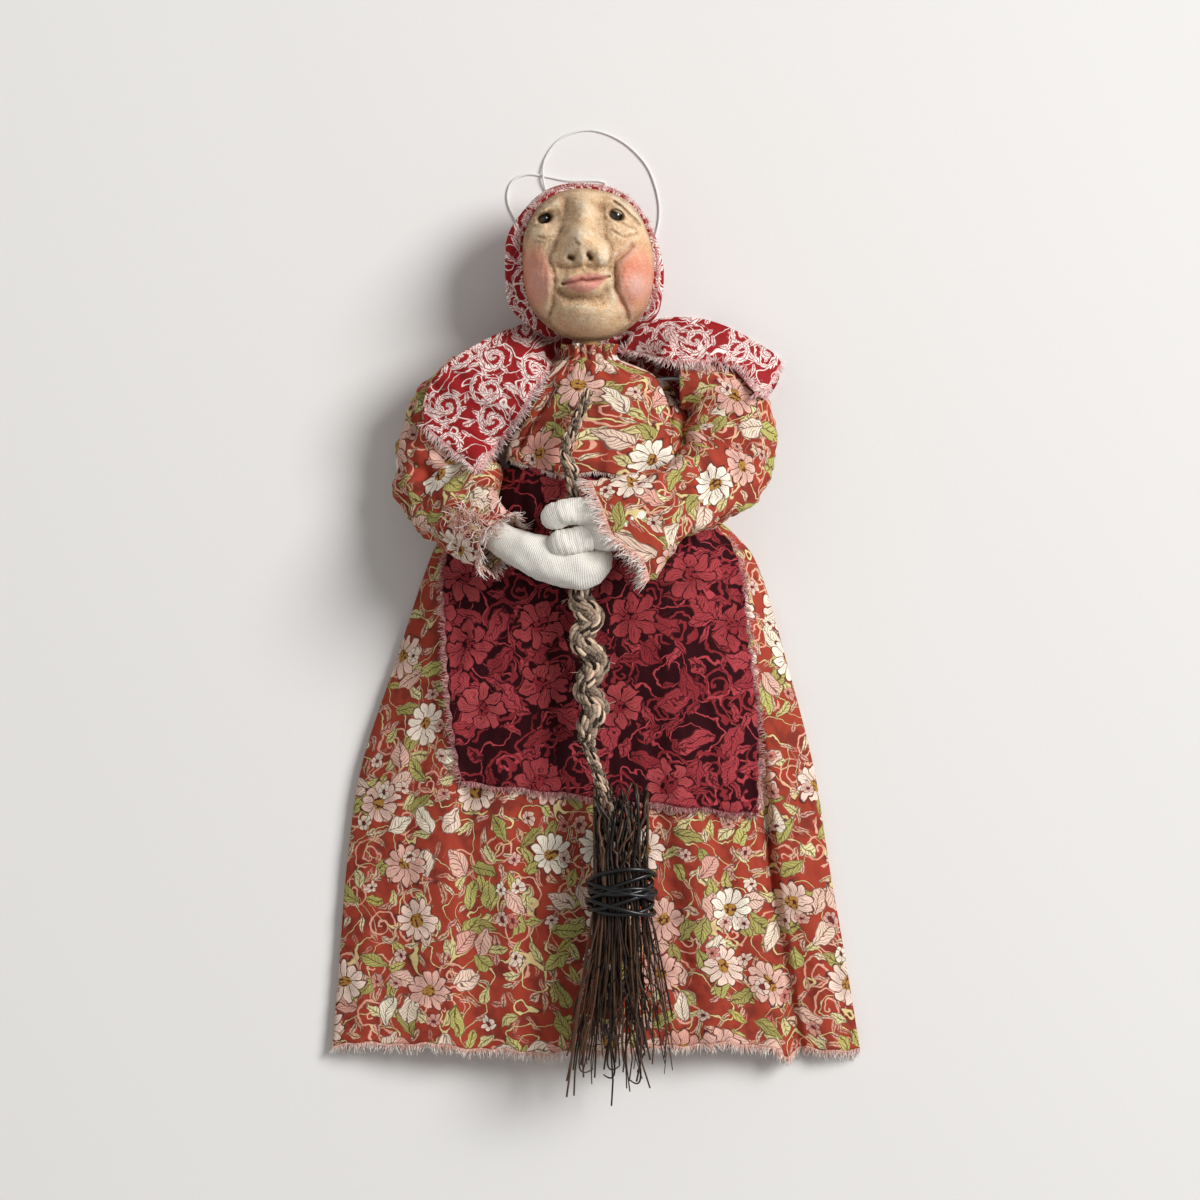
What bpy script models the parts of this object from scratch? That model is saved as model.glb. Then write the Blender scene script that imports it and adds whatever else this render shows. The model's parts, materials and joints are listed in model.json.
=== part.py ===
"""An apple head doll lying on its back, with a twig broom in its clasped hands.

+Z comes out of the doll's front and +Y runs up to its head. The origin is on the flat underside of the skirt,
and z = 0 is the surface that the doll lies on. Left and right are those of someone who looks at its front.
"""
import math
import random

import bmesh
import bpy
import numpy as np
from mathutils import Matrix, Vector
from mathutils.bvhtree import BVHTree

MM = 0.001

# Clearances
GAP = 0.3 * MM
NECK_PLAY = 0.8 * MM
FLOOR_PLAY = 1.5 * MM
CUT_OVERRUN = 3 * MM
MERGE = 0.001 * MM

# Stuffed body, from the hips inside the skirt to the neck
HIP_Y = 14 * MM
WAIST_Y = 60 * MM
BUST_Y = 80 * MM
SHOULDER_Y = 95 * MM
NECK_TOP_Y = 105.4 * MM
HIP_WIDTH = 40 * MM
WAIST_WIDTH = 34 * MM
BUST_WIDTH = 44 * MM
SHOULDER_WIDTH = 42 * MM
NECK_WIDTH = 15 * MM
BUST_DEPTH = 33 * MM
WAIST_DEPTH = 28 * MM
HIP_DEPTH = 26 * MM
HIP_END_share = 0.55
SHOULDER_DEPTH = 27 * MM

# Cloth of the dress and of the shawl
DRESS_CLOTH = 2.4 * MM
SHAWL_CLOTH = 1.3 * MM
SHAWL_BACK_CLOTH = 2.4 * MM
APRON_CLOTH = 1.1 * MM
DRAPE_LIFT = 0.5 * MM
DRAPE_SPREAD_share = 0.45
BODY_Z = SHAWL_BACK_CLOTH + GAP + BUST_DEPTH / 2 + DRESS_CLOTH + GAP
BODICE_HEM_Y = 56 * MM
BODICE_HEM_WIDTH = 50 * MM
BODICE_HEM_RISE = 22 * MM
BODICE_TOP_Y = 98 * MM
ARMHOLE_SPAN = 50 * MM
COLLAR_WIDTH = 24 * MM
COLLAR_GATHERS = 12
COLLAR_RIPPLE_share = 0.07

# Head: a carved and dried apple, with the nose, cheeks, lips and chin in shares of its width
HEAD_X = -2.5 * MM
HEAD_WIDTH = 47.2 * MM
HEAD_TALL_share = 1.17
HEAD_HEIGHT = HEAD_WIDTH * HEAD_TALL_share
HEAD_FRONT = 25 * MM
HEAD_BACK = 24 * MM
HOOD_CLOTH = 1.5 * MM
HOOD_PLAY = 0.7 * MM
HOOD_CHEEK_STAND = 4.5 * MM
HOOD_EDGE_DEG = 79
HOOD_CHEEK_DOWN_share = 0.35
HOOD_CHEEK_TALL_share = 0.45
HEAD_Y = NECK_TOP_Y + NECK_PLAY + HEAD_HEIGHT / 2 + HOOD_PLAY + HOOD_CLOTH
HEAD_Z = FLOOR_PLAY + HOOD_CLOTH + HOOD_PLAY + HEAD_BACK
EYE_DIAMETER = 4.6 * MM
EYE_SINK = 0.9 * MM
FACE_RIM_share = 0.45
PEG_DIAMETER = 7 * MM
PEG_IN_BODY = 20 * MM
PEG_IN_HEAD = 22 * MM
EYE_PLACES_shares = {"eye_left": (-0.335, 0.345), "eye_right": (0.205, 0.362)}
# Across, up, half width, half height and lift of each swell (or hollow, where the lift is below zero)
FACE_FORMS_shares = (
    (-0.070, 0.530, 0.150, 0.110, 0.055),
    (-0.091, 0.270, 0.105, 0.230, 0.105),
    (-0.055, 0.160, 0.140, 0.120, 0.120),
    (-0.210, 0.020, 0.075, 0.075, 0.085),
    (0.100, 0.020, 0.075, 0.075, 0.085),
    (-0.058, 0.030, 0.060, 0.080, 0.060),
    (-0.020, -0.150, 0.250, 0.180, 0.070),
    (-0.023, -0.112, 0.150, 0.042, 0.050),
    (-0.023, -0.196, 0.140, 0.047, 0.055),
    (-0.023, -0.150, 0.165, 0.018, -0.035),
    (-0.010, -0.320, 0.220, 0.040, -0.040),
    (-0.010, -0.450, 0.230, 0.130, 0.150),
    (-0.400, -0.135, 0.140, 0.240, 0.110),
    (0.360, -0.135, 0.155, 0.260, 0.145),
    (-0.335, 0.345, 0.110, 0.090, -0.045),
    (0.205, 0.362, 0.110, 0.090, -0.045),
    (-0.250, 0.240, 0.065, 0.130, -0.050),
    (0.095, 0.240, 0.065, 0.130, -0.050),
)
# Two ends, half width and depth of each crease from nose to jaw
FACE_CREASES_shares = (
    (0.165, -0.080, 0.280, -0.410, 0.030, -0.050),
    (-0.300, -0.075, -0.285, -0.420, 0.030, -0.045),
)

# Arms: one wire through both shoulders, wrapped in cotton that ends in the mitt hands
WIRE_DIAMETER = 2 * MM
WRAP_DIAMETER = 9 * MM
ARM_SPREAD = 58 * MM
ARM_DROP = 68 * MM
ARM_RISE = 27.5 * MM
SLEEVE_WIDTH = 27 * MM
SLEEVE_DEPTH = 21 * MM
RIGHT_CUFF_WIDTH = 35 * MM
HAND_WIDTH = 17 * MM
THUMB_WIDTH = 8.4 * MM
# Sideways, down and forward places along each arm, in shares of the spread, drop and rise
ARM_LEFT_shares = (
    (-0.30, 0.00, 0.00), (-0.66, 0.00, 0.00), (-0.86, -0.12, -0.08), (-0.97, -0.34, -0.20),
    (-0.96, -0.57, -0.12), (-0.80, -0.74, 0.42), (-0.60, -0.84, 0.82), (-0.40, -0.92, 0.98),
    (-0.20, -0.975, 1.02), (-0.03, -0.98, 1.02), (0.09, -0.90, 1.00),
)
ARM_RIGHT_shares = (
    (0.30, 0.00, 0.00), (0.64, 0.00, 0.00), (0.80, -0.11, -0.02), (0.86, -0.28, 0.02),
    (0.82, -0.46, 0.16), (0.66, -0.58, 0.62), (0.46, -0.66, 0.95), (0.26, -0.72, 1.12),
    (0.07, -0.76, 1.16), (-0.12, -0.79, 1.12),
)
THUMB_shares = ((0.10, -0.68, 1.22), (-0.12, -0.655, 1.24), (-0.26, -0.70, 1.20), (-0.34, -0.745, 1.16))
FINGER_shares = ((0.02, -0.80, 1.16), (-0.16, -0.83, 1.18), (-0.27, -0.855, 1.14))
# Half widths and depths along the mitts and the sleeves, and how their tips draw in
MITT_shares = ((0.64, 0.61), (0.90, 0.80), (1.00, 0.86), (0.95, 0.85), (0.70, 0.70))
SLEEVE_shares = ((0.86, 1.10), (0.86, 1.10), (1.00, 1.00), (1.08, 1.00), (1.12, 1.00), (1.00, 0.95))
FOREARM_shares = (1.00, 0.85)
CUFF_DEPTH_share = 0.82
HAND_TIP_shares = (0.92, 0.72, 0.30)
LOBE_TIP_shares = (0.95, 0.80, 0.40)
LEFT_CUFF_POINTS = 6
RIGHT_CUFF_POINTS = 7

# Skirt, lying on its back: how far each row is down it, its left and right reach and its height, in shares
SKIRT_TOP_Y = 62 * MM
SKIRT_LENGTH = 208 * MM
SKIRT_REACH = 95.6 * MM
SKIRT_HEIGHT = 39 * MM
SKIRT_EDGE = 4 * MM
SKIRT_WAIST_LIFT = 4 * MM
SKIRT_FOLD = 3.2 * MM
SKIRT_PLEAT = 5 * MM
SKIRT_HEM_WAVE = 3 * MM
SKIRT_ROWS_shares = (
    (0.000, 0.21, 0.21, 1.00), (0.048, 0.36, 0.35, 0.98), (0.110, 0.585, 0.53, 0.93),
    (0.170, 0.645, 0.62, 0.87), (0.326, 0.757, 0.72, 0.72), (0.514, 0.89, 0.825, 0.58),
    (0.688, 0.945, 0.885, 0.49), (0.846, 0.972, 0.945, 0.41), (1.000, 1.00, 1.00, 0.36),
)
# Middle, half width and height of each fold across the skirt
SKIRT_FOLDS_shares = (
    (-0.86, 0.07, 0.5), (-0.62, 0.09, 0.7), (-0.34, 0.10, 0.4), (0.44, 0.09, 0.6), (0.93, 0.05, 0.4),
)
SKIRT_FOLDS_FULL_share = 0.625
SKIRT_PLEAT_PLACE_share = 0.76
SKIRT_PLEAT_SOFT_share = 0.05
SKIRT_WAIST_share = 0.06
SKIRT_HEM_share = 0.2
SKIRT_HEM_TURN = 5.2
SKIRT_HEM_START = 0.8
SKIRT_UNDER_share = 0.97
SKIRT_COLUMNS = 24
SKIRT_UNDER_COLUMNS = 6
SKIRT_STEPS = 2

# Apron: down, left and right reach of its rows in shares of its length and half width
APRON_TOP_Y = 63 * MM
APRON_LENGTH = 116 * MM
APRON_REACH = 57 * MM
APRON_HEM_SLOPE = 12 * MM
APRON_LEVEL_share = 0.3
APRON_ROWS_shares = (
    (0.00, 0.34, 0.34), (0.09, 0.52, 0.56), (0.21, 0.84, 0.84), (0.32, 0.96, 0.92), (0.50, 0.95, 0.96),
    (0.75, 0.92, 1.02), (1.00, 0.85, 1.02),
)
APRON_COLUMNS = 14
APRON_STEPS = 2

# Shawl wings: outer and front edges from the neck to the tip, in shares of the shawl's reach and drop
SHAWL_TOP_Y = 119 * MM
SHAWL_REACH = 67 * MM
SHAWL_DROP = 57 * MM
WING_LEFT_EDGES_shares = (
    ((-0.385, -0.06), (-0.76, -0.29), (-0.91, -0.51), (-0.92, -0.70)),
    ((-0.20, -0.235), (-0.30, -0.42), (-0.44, -0.68), (-0.64, -0.99)),
)
WING_RIGHT_EDGES_shares = (
    ((0.36, -0.02), (0.59, -0.03), (0.80, -0.13), (1.00, -0.30)),
    ((0.17, -0.20), (0.42, -0.30), (0.70, -0.33), (0.88, -0.54)),
)
SHAWL_BACK_OUTLINE_shares = (
    (-0.91, -0.71), (-0.92, -0.52), (-0.77, -0.28), (-0.42, -0.07), (-0.20, -0.19), (0.00, -0.22),
    (0.18, -0.19), (0.36, -0.02), (0.60, -0.03), (0.80, -0.13), (1.00, -0.30), (0.90, -0.55),
    (0.60, -0.62), (0.00, -0.68), (-0.52, -0.73),
)
WING_ROWS = 8
WING_STEPS = 4
WING_ROUNDS = 12

# Broom
GRIP_X = -2.2 * MM
GRIP_Y = 35.6 * MM
BROOM_SWING_DEG = 8
HANDLE_DIAMETER = 4.4 * MM
HANDLE_TOP_Y = 90.5 * MM
HANDLE_LENGTH = 174.5 * MM
HANDLE_SWAY = 11 * MM
HANDLE_HEIGHT = 48 * MM
# Sideways, down and height of the handle's middle in shares of its sway, length and height, and its thickness
HANDLE_ROUTE_shares = (
    (-0.23, 0.000, 0.98, 0.9), (-0.65, 0.067, 0.99, 1.0), (-1.00, 0.124, 1.00, 1.0),
    (-0.78, 0.169, 1.00, 1.3), (-0.69, 0.221, 0.98, 1.1), (-0.56, 0.266, 0.96, 1.0),
    (-0.24, 0.315, 0.94, 1.0), (0.05, 0.370, 0.91, 1.1), (-0.40, 0.424, 0.89, 2.0),
    (0.24, 0.476, 0.87, 2.2), (-0.40, 0.513, 0.86, 2.2), (0.31, 0.550, 0.84, 2.2),
    (-0.33, 0.607, 0.83, 2.2), (0.40, 0.645, 0.81, 2.2), (-0.11, 0.688, 0.79, 1.9),
    (-0.13, 0.742, 0.77, 1.1), (0.24, 0.794, 0.75, 1.1), (0.38, 0.874, 0.73, 1.3), (0.45, 1.000, 0.72, 1.2),
)
HANDLE_STEPS = 2
HANDLE_IN_BUNDLE = 6 * MM
BUNDLE_X = 9 * MM
BUNDLE_TOP_Y = HANDLE_TOP_Y - HANDLE_LENGTH + HANDLE_IN_BUNDLE
BUNDLE_LENGTH = 22 * MM
BUNDLE_WIDTH = 21 * MM
BUNDLE_DEPTH = 13 * MM
BUNDLE_SEGMENTS = 20
TWIG_DIAMETER = 0.75 * MM
TWIG_PITCH = 1.05 * MM
TWIG_ROOT = 1 * MM
TWIG_LENGTH = 66 * MM
TWIG_SPREAD_share = 1.95
TWIG_RISE_share = 1.15
TWIG_DROOP = 6 * MM
TWIG_SHORTEST_share = 0.68
STUB_PITCH = 1.55 * MM
STUB_LENGTH = 30 * MM
STUB_SPREAD_share = 1.06
STUB_SHORTEST_share = 0.55
BINDING_DIAMETER = 1.6 * MM
BINDING_TURNS = 6
BINDING_PITCH = 3.1 * MM
BINDING_POINTS = 24
TWIG_SEED = 7

# Hanging thread: its route in mm, from the shawl behind the neck, round both loops and back
THREAD_DIAMETER = 0.8 * MM
THREAD_POINTS = 56
THREAD_ROUTE = (
    (-7.0, 107.7, 1.3), (-9.6, 112.0, 0.7), (-16.0, 122.0, 0.45), (-22.0, 134.0, 0.45),
    (-27.5, 150.0, 0.45), (-32.0, 160.0, 0.45), (-30.8, 167.2, 0.45), (-25.2, 170.2, 0.45),
    (-19.0, 169.6, 0.45), (-9.8, 167.9, 0.45), (-1.0, 167.9, 0.45), (3.4, 167.0, 0.45),
    (2.2, 163.0, 0.45), (-5.0, 160.4, 0.45), (-13.0, 160.2, 0.45), (-17.6, 163.4, 0.6),
    (-19.2, 169.4, 1.5), (-18.6, 175.4, 0.6), (-14.8, 181.4, 0.45), (-9.7, 184.8, 0.45),
    (-2.7, 186.3, 0.45), (4.2, 184.8, 0.45), (11.5, 180.7, 0.45), (18.0, 173.9, 0.45),
    (21.4, 166.3, 0.45), (23.0, 157.7, 0.45), (21.8, 148.8, 0.45), (17.0, 136.0, 0.45),
    (12.0, 124.0, 0.45), (7.6, 113.0, 0.7), (6.0, 107.8, 1.3),
)

ACROSS = Vector((1, 0, 0))
ALONG = Vector((0, 1, 0))
UP = Vector((0, 0, 1))


def start_empty():
    """Clear the scene and give the doll and its cutters a collection each."""
    for obj in list(bpy.data.objects):
        bpy.data.objects.remove(obj, do_unlink=True)
    groups = []
    for name in ("Apple head doll", "Cutters"):
        group = bpy.data.collections.new(name)
        bpy.context.scene.collection.children.link(group)
        groups.append(group)
    return groups


def finish(name, colour, roughness, metallic=0.0):
    """A plain surface with the colour, roughness and metal of one of the doll's materials."""
    surface = bpy.data.materials.new(name)
    surface.use_nodes = True
    shader = surface.node_tree.nodes["Principled BSDF"]
    shader.inputs["Base Color"].default_value = (*colour, 1)
    shader.inputs["Roughness"].default_value = roughness
    shader.inputs["Metallic"].default_value = metallic
    surface.diffuse_color = (*colour, 1)
    return surface


def piece(name, form, surface, smooth=True):
    """Put a finished bmesh into the doll's collection as one named object."""
    mesh = bpy.data.meshes.new(name)
    form.to_mesh(mesh)
    form.free()
    if smooth:
        mesh.shade_smooth()
    mesh.materials.append(surface)
    obj = bpy.data.objects.new(name, mesh)
    DOLL.objects.link(obj)
    return obj


def smooth_rows(rows, steps):
    """More rows on a smooth curve through the given ones."""
    rows = np.array(rows, dtype=float)
    padded = np.vstack((2 * rows[0] - rows[1], rows, 2 * rows[-1] - rows[-2]))
    finer = []
    for before, here, there, after in zip(padded, padded[1:], padded[2:], padded[3:]):
        for step in range(steps):
            t = step / steps
            finer.append(0.5 * (2 * here + (there - before) * t
                                + (2 * before - 5 * here + 4 * there - after) * t ** 2
                                + (3 * here - 3 * there + after - before) * t ** 3))
    finer.append(rows[-1])
    return np.array(finer)


def even_points(rows, count):
    """A number of points at equal distances along a curve."""
    fine = smooth_rows(rows, 12)
    reach = np.concatenate(([0], np.cumsum(np.linalg.norm(np.diff(fine[:, :3], axis=0), axis=1))))
    marks = np.linspace(0, reach[-1], count)
    return np.column_stack([np.interp(marks, reach, column) for column in fine.T]), reach[-1]


def oval_ring(middle, across, up, half_width, half_depth, count):
    """Points of an oval section."""
    ring = []
    for i in range(count):
        angle = math.tau * i / count
        ring.append(middle + across * (half_width * math.cos(angle)) + up * (half_depth * math.sin(angle)))
    return ring


def loft(rings):
    """A skin over rings of equally many points, with its ends closed."""
    form = bmesh.new()
    loops = [[form.verts.new(point) for point in ring] for ring in rings]
    for low, high in zip(loops, loops[1:]):
        for i in range(len(low)):
            j = (i + 1) % len(low)
            form.faces.new((low[i], low[j], high[j], high[i]))
    form.faces.new(loops[0])
    form.faces.new(loops[-1])
    bmesh.ops.recalc_face_normals(form, faces=form.faces)
    return form


def limb(path, count=16):
    """A loft along a path whose rows hold x, y, z, half width and half depth."""
    rings = []
    for i, row in enumerate(path):
        tangent = Vector(path[min(i + 1, len(path) - 1)][:3]) - Vector(path[max(i - 1, 0)][:3])
        tangent.normalize()
        across = tangent.cross(UP).normalized()
        rings.append(oval_ring(Vector(row[:3]), across, across.cross(tangent), row[3], row[4], count))
    return loft(rings)


def rounded(path, lengths):
    """The path with its far end drawn in to a round tip over the last rows."""
    path = np.array(path)
    for back, share in enumerate(reversed(lengths)):
        path[-1 - back, 3:5] *= share
    return path


def finished_mesh(obj):
    """The evaluated mesh of an object, in its world place."""
    shapes = bpy.context.evaluated_depsgraph_get()
    mesh = bpy.data.meshes.new_from_object(obj.evaluated_get(shapes))
    mesh.transform(obj.matrix_world)
    return mesh


def grown(mesh, clearance):
    """The mesh with its skin moved outwards by a clearance."""
    form = bmesh.new()
    form.from_mesh(mesh)
    bmesh.ops.remove_doubles(form, verts=form.verts, dist=MERGE)
    form.normal_update()
    moves = [vert.normal * clearance * min(vert.calc_shell_factor(), 2) for vert in form.verts]
    for vert, move in zip(form.verts, moves):
        vert.co += move
    form.to_mesh(mesh)
    form.free()


def drop_crumbs(mesh):
    """Keep only the largest body of a mesh, as scissors leave it."""
    form = bmesh.new()
    form.from_mesh(mesh)
    left, bodies = set(form.verts), []
    while left:
        body, edge = set(), [left.pop()]
        while edge:
            vert = edge.pop()
            body.add(vert)
            near = {link.other_vert(vert) for link in vert.link_edges} & left
            left -= near
            edge.extend(near)
        bodies.append(body)
    crumbs = sorted(bodies, key=len)[:-1]
    bmesh.ops.delete(form, geom=[vert for body in crumbs for vert in body], context="VERTS")
    form.to_mesh(mesh)
    form.free()


def cut_with(target, meshes, operation="DIFFERENCE"):
    """Cut meshes out of a piece, or join them to it, and keep the result as its mesh."""
    cutters = []
    for mesh in meshes:
        cutter = bpy.data.objects.new("cutter", mesh)
        cutter.hide_render = True
        cutter.display_type = "WIRE"
        CUTTERS.objects.link(cutter)
        step = target.modifiers.new("Cut", "BOOLEAN")
        step.operation = operation
        step.object = cutter
        cutters.append(cutter)
    shapes = bpy.context.evaluated_depsgraph_get()
    result = bpy.data.meshes.new_from_object(target.evaluated_get(shapes))
    target.modifiers.clear()
    drop_crumbs(result)
    target.data = result
    for cutter in cutters:
        bpy.data.objects.remove(cutter, do_unlink=True)


def clear_of(target, *neighbours, clearance=GAP):
    """Cut a piece back so that it keeps a clearance to its neighbours."""
    meshes = []
    for neighbour in neighbours:
        mesh = finished_mesh(neighbour)
        grown(mesh, clearance)
        meshes.append(mesh)
    cut_with(target, meshes)


def block(low, high):
    """A box between two corners, as a cutter's mesh."""
    form = bmesh.new()
    bmesh.ops.create_cube(form, size=1)
    low, high = Vector(low), Vector(high)
    for vert in form.verts:
        vert.co = Vector((low[i] + (vert.co[i] + 0.5) * (high[i] - low[i]) for i in range(3)))
    mesh = bpy.data.meshes.new("block")
    form.to_mesh(mesh)
    form.free()
    return mesh


def tube(name, route, diameter, surface, resolution):
    """A round tube on a poly line; a route's fourth value is its thickness as a share."""
    curve = bpy.data.curves.new(name, "CURVE")
    curve.dimensions = "3D"
    curve.bevel_depth = diameter / 2
    curve.bevel_resolution = resolution
    curve.use_fill_caps = True
    line = curve.splines.new("POLY")
    line.points.add(len(route) - 1)
    for point, row in zip(line.points, route):
        point.co = (*row[:3], 1)
        point.radius = row[3] if len(row) > 3 else 1
    guide = bpy.data.objects.new(name, curve)
    DOLL.objects.link(guide)
    mesh = finished_mesh(guide)
    bpy.data.objects.remove(guide, do_unlink=True)
    form = bmesh.new()
    form.from_mesh(mesh)
    bmesh.ops.remove_doubles(form, verts=form.verts, dist=MERGE)
    bmesh.ops.recalc_face_normals(form, faces=form.faces)
    return piece(name, form, surface)


def pivot(name, place, parent=None):
    """An empty on a joint's axis."""
    empty = bpy.data.objects.new(name, None)
    empty.location = Vector(place) - (parent.location if parent else Vector())
    empty.parent = parent
    DOLL.objects.link(empty)
    return empty


def hang_on(empty, place, *pieces):
    """Give pieces their origin on a joint's axis, under its empty."""
    for obj in pieces:
        obj.data.transform(Matrix.Translation(-Vector(place)) @ obj.matrix_world)
        obj.matrix_world = Matrix()
        obj.parent = empty


def body_rows(stand, low_y, high_y):
    """Rows of the stuffed body between two heights, stood off by a cloth's thickness."""
    neck_z = HEAD_Z
    rows = smooth_rows((
        (HIP_Y, 0, BODY_Z, HIP_WIDTH / 2 * HIP_END_share, HIP_DEPTH / 2 * HIP_END_share),
        ((HIP_Y * 4 + WAIST_Y) / 5, 0, BODY_Z, HIP_WIDTH / 2, HIP_DEPTH / 2),
        ((HIP_Y + WAIST_Y) / 2, 0, BODY_Z, HIP_WIDTH / 2, (HIP_DEPTH + WAIST_DEPTH) / 4),
        (WAIST_Y, 0, BODY_Z, WAIST_WIDTH / 2, WAIST_DEPTH / 2),
        (BUST_Y, 0, BODY_Z, BUST_WIDTH / 2, BUST_DEPTH / 2),
        (SHOULDER_Y, 0, BODY_Z, SHOULDER_WIDTH / 2, SHOULDER_DEPTH / 2),
        ((SHOULDER_Y * 2 + NECK_TOP_Y) / 3, HEAD_X / 2, (BODY_Z + neck_z) / 2,
         (SHOULDER_WIDTH + NECK_WIDTH) / 4, (SHOULDER_DEPTH + NECK_WIDTH) / 4),
        (NECK_TOP_Y, HEAD_X, neck_z, NECK_WIDTH / 2, NECK_WIDTH / 2),
    ), 2)
    marks = [low_y] + [y for y in rows[:, 0] if low_y < y < high_y] + [high_y]
    kept = [[np.interp(y, rows[:, 0], column) for column in rows.T] for y in marks]
    return [(y, x, z, width + stand, depth + stand) for y, x, z, width, depth in kept]


def body_loft(rows, count):
    """A loft of ovals up the body."""
    return loft([oval_ring(Vector((x, y, z)), ACROSS, UP, half_width, half_depth, count)
                 for y, x, z, half_width, half_depth in rows])


def make_torso():
    return piece("torso", body_loft(body_rows(0, HIP_Y, NECK_TOP_Y), 18), COTTON)


def make_peg():
    """A whittled wooden peg, drawn in at both ends, up the middle of the neck."""
    tip = PEG_DIAMETER / 2
    low, high = NECK_TOP_Y - PEG_IN_BODY, NECK_TOP_Y + PEG_IN_HEAD
    rings = []
    for y, share in ((low, 0.6), (low + tip, 1), (high - tip, 1), (high, 0.6)):
        rings.append(oval_ring(Vector((HEAD_X, y, HEAD_Z)), ACROSS, UP, tip * share, tip * share, 16))
    return piece("neck_peg", loft(rings), PEG_WOOD)


def make_collar():
    """A gathered band round the neck."""
    rings = []
    low, high = BODICE_TOP_Y + GAP, NECK_TOP_Y - GAP
    count = COLLAR_GATHERS * 3
    for step in range(3):
        share = step / 2
        y = low + (high - low) * share
        half = COLLAR_WIDTH / 2 + (NECK_WIDTH / 2 + DRESS_CLOTH - COLLAR_WIDTH / 2) * share
        (_, x, z, _, _), = body_rows(0, y, y)[:1]
        ring = oval_ring(Vector((x, y, z)), ACROSS, UP, half, half, count)
        for i, point in enumerate(ring):
            wave = 1 + COLLAR_RIPPLE_share * math.cos(math.tau * i * COLLAR_GATHERS / count)
            ring[i] = Vector((x, y, z)) + (point - Vector((x, y, z))) * wave
        rings.append(ring)
    return piece("collar", loft(rings), PRINT)


def make_bodice():
    """The dress's top: a shell round the body that flares over the waist at the front and sides."""
    stand = GAP + DRESS_CLOTH
    rows = body_rows(stand, BODICE_HEM_Y, BODICE_TOP_Y)
    rings = []
    for y, x, z, half_width, half_depth in rows:
        flare = max(0.0, 1 - (y - BODICE_HEM_Y) / (BUST_Y - BODICE_HEM_Y)) ** 1.5
        ring = oval_ring(Vector((x, y, z)), ACROSS, UP, half_width, half_depth, 20)
        for point in ring:
            point.x += (point.x - x) / half_width * flare * (BODICE_HEM_WIDTH / 2 - half_width)
            if point.z > z:
                point.z += (point.z - z) / half_depth * flare * (BODICE_HEM_RISE - half_depth)
        rings.append(ring)
    bodice = piece("bodice", loft(rings), PRINT)
    side = ARMHOLE_SPAN / 2
    far = BODICE_HEM_WIDTH
    low, high = (BUST_Y + BODICE_HEM_Y) / 2, BODICE_TOP_Y + CUT_OVERRUN
    cut_with(bodice, [block((side, low, -CUT_OVERRUN), (far, high, HEAD_FRONT + HEAD_Z)),
                      block((-far, low, -CUT_OVERRUN), (-side, high, HEAD_FRONT + HEAD_Z))])
    return bodice


def face_lift(across, up):
    """How far the carving stands out from the plain apple at a place on the face."""
    lift = 0.0
    for middle, height, wide, tall, rise in FACE_FORMS_shares:
        far = ((across - middle) / wide) ** 2 + ((up - height) / tall) ** 2
        lift += rise * math.exp(-far)
    for x1, y1, x2, y2, wide, rise in FACE_CREASES_shares:
        run, climb = x2 - x1, y2 - y1
        along = ((across - x1) * run + (up - y1) * climb) / (run ** 2 + climb ** 2)
        along = min(1.0, max(0.0, along))
        far = math.hypot(across - x1 - run * along, up - y1 - climb * along) / wide
        lift += rise * math.exp(-far ** 2)
    return lift * HEAD_WIDTH


def ball_direction(tilt, turn):
    """A direction from the middle of a ball, by its tilt from the front and its turn round it."""
    return Vector((math.sin(tilt) * math.cos(turn), math.sin(tilt) * math.sin(turn), math.cos(tilt)))


def apple_point(direction, stand=0.0):
    """A point on the plain apple, or stood off from it, in a direction from its middle."""
    deep = HEAD_FRONT if direction.z > 0 else HEAD_BACK
    return Vector((HEAD_X + direction.x * (HEAD_WIDTH / 2 + stand),
                   HEAD_Y + direction.y * (HEAD_HEIGHT / 2 + stand),
                   HEAD_Z + direction.z * (deep + stand)))


def face_point(direction):
    """A point on the carved head."""
    point = apple_point(direction)
    front = min(1.0, max(0.0, direction.z / FACE_RIM_share))
    weight = front * front * (3 - 2 * front)
    across, up = (point.x - HEAD_X) / HEAD_WIDTH, (point.y - HEAD_Y) / HEAD_WIDTH
    return point + UP * (face_lift(across, up) * weight)


def make_head():
    """A ball with its rings drawn towards the face, carved by the swells and creases of the face."""
    form = bmesh.new()
    bmesh.ops.create_uvsphere(form, u_segments=34, v_segments=22, radius=1)
    for vert in form.verts:
        tilt = math.acos(max(-1.0, min(1.0, vert.co.z))) / math.pi
        turn = math.atan2(vert.co.y, vert.co.x)
        vert.co = face_point(ball_direction(math.pi * tilt ** 1.3, turn))
    return piece("head", form, APPLE)


def make_eyes():
    eyes = []
    for name, (across, up) in EYE_PLACES_shares.items():
        x, y = across * HEAD_WIDTH, up * HEAD_WIDTH
        flat = Vector((x / (HEAD_WIDTH / 2), y / (HEAD_HEIGHT / 2), 0))
        face = face_point(flat + UP * math.sqrt(1 - flat.length_squared))
        form = bmesh.new()
        bmesh.ops.create_uvsphere(form, u_segments=12, v_segments=7, radius=EYE_DIAMETER / 2)
        bmesh.ops.translate(form, verts=form.verts, vec=face - UP * EYE_SINK)
        eyes.append(piece(name, form, BEAD))
    return eyes


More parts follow.
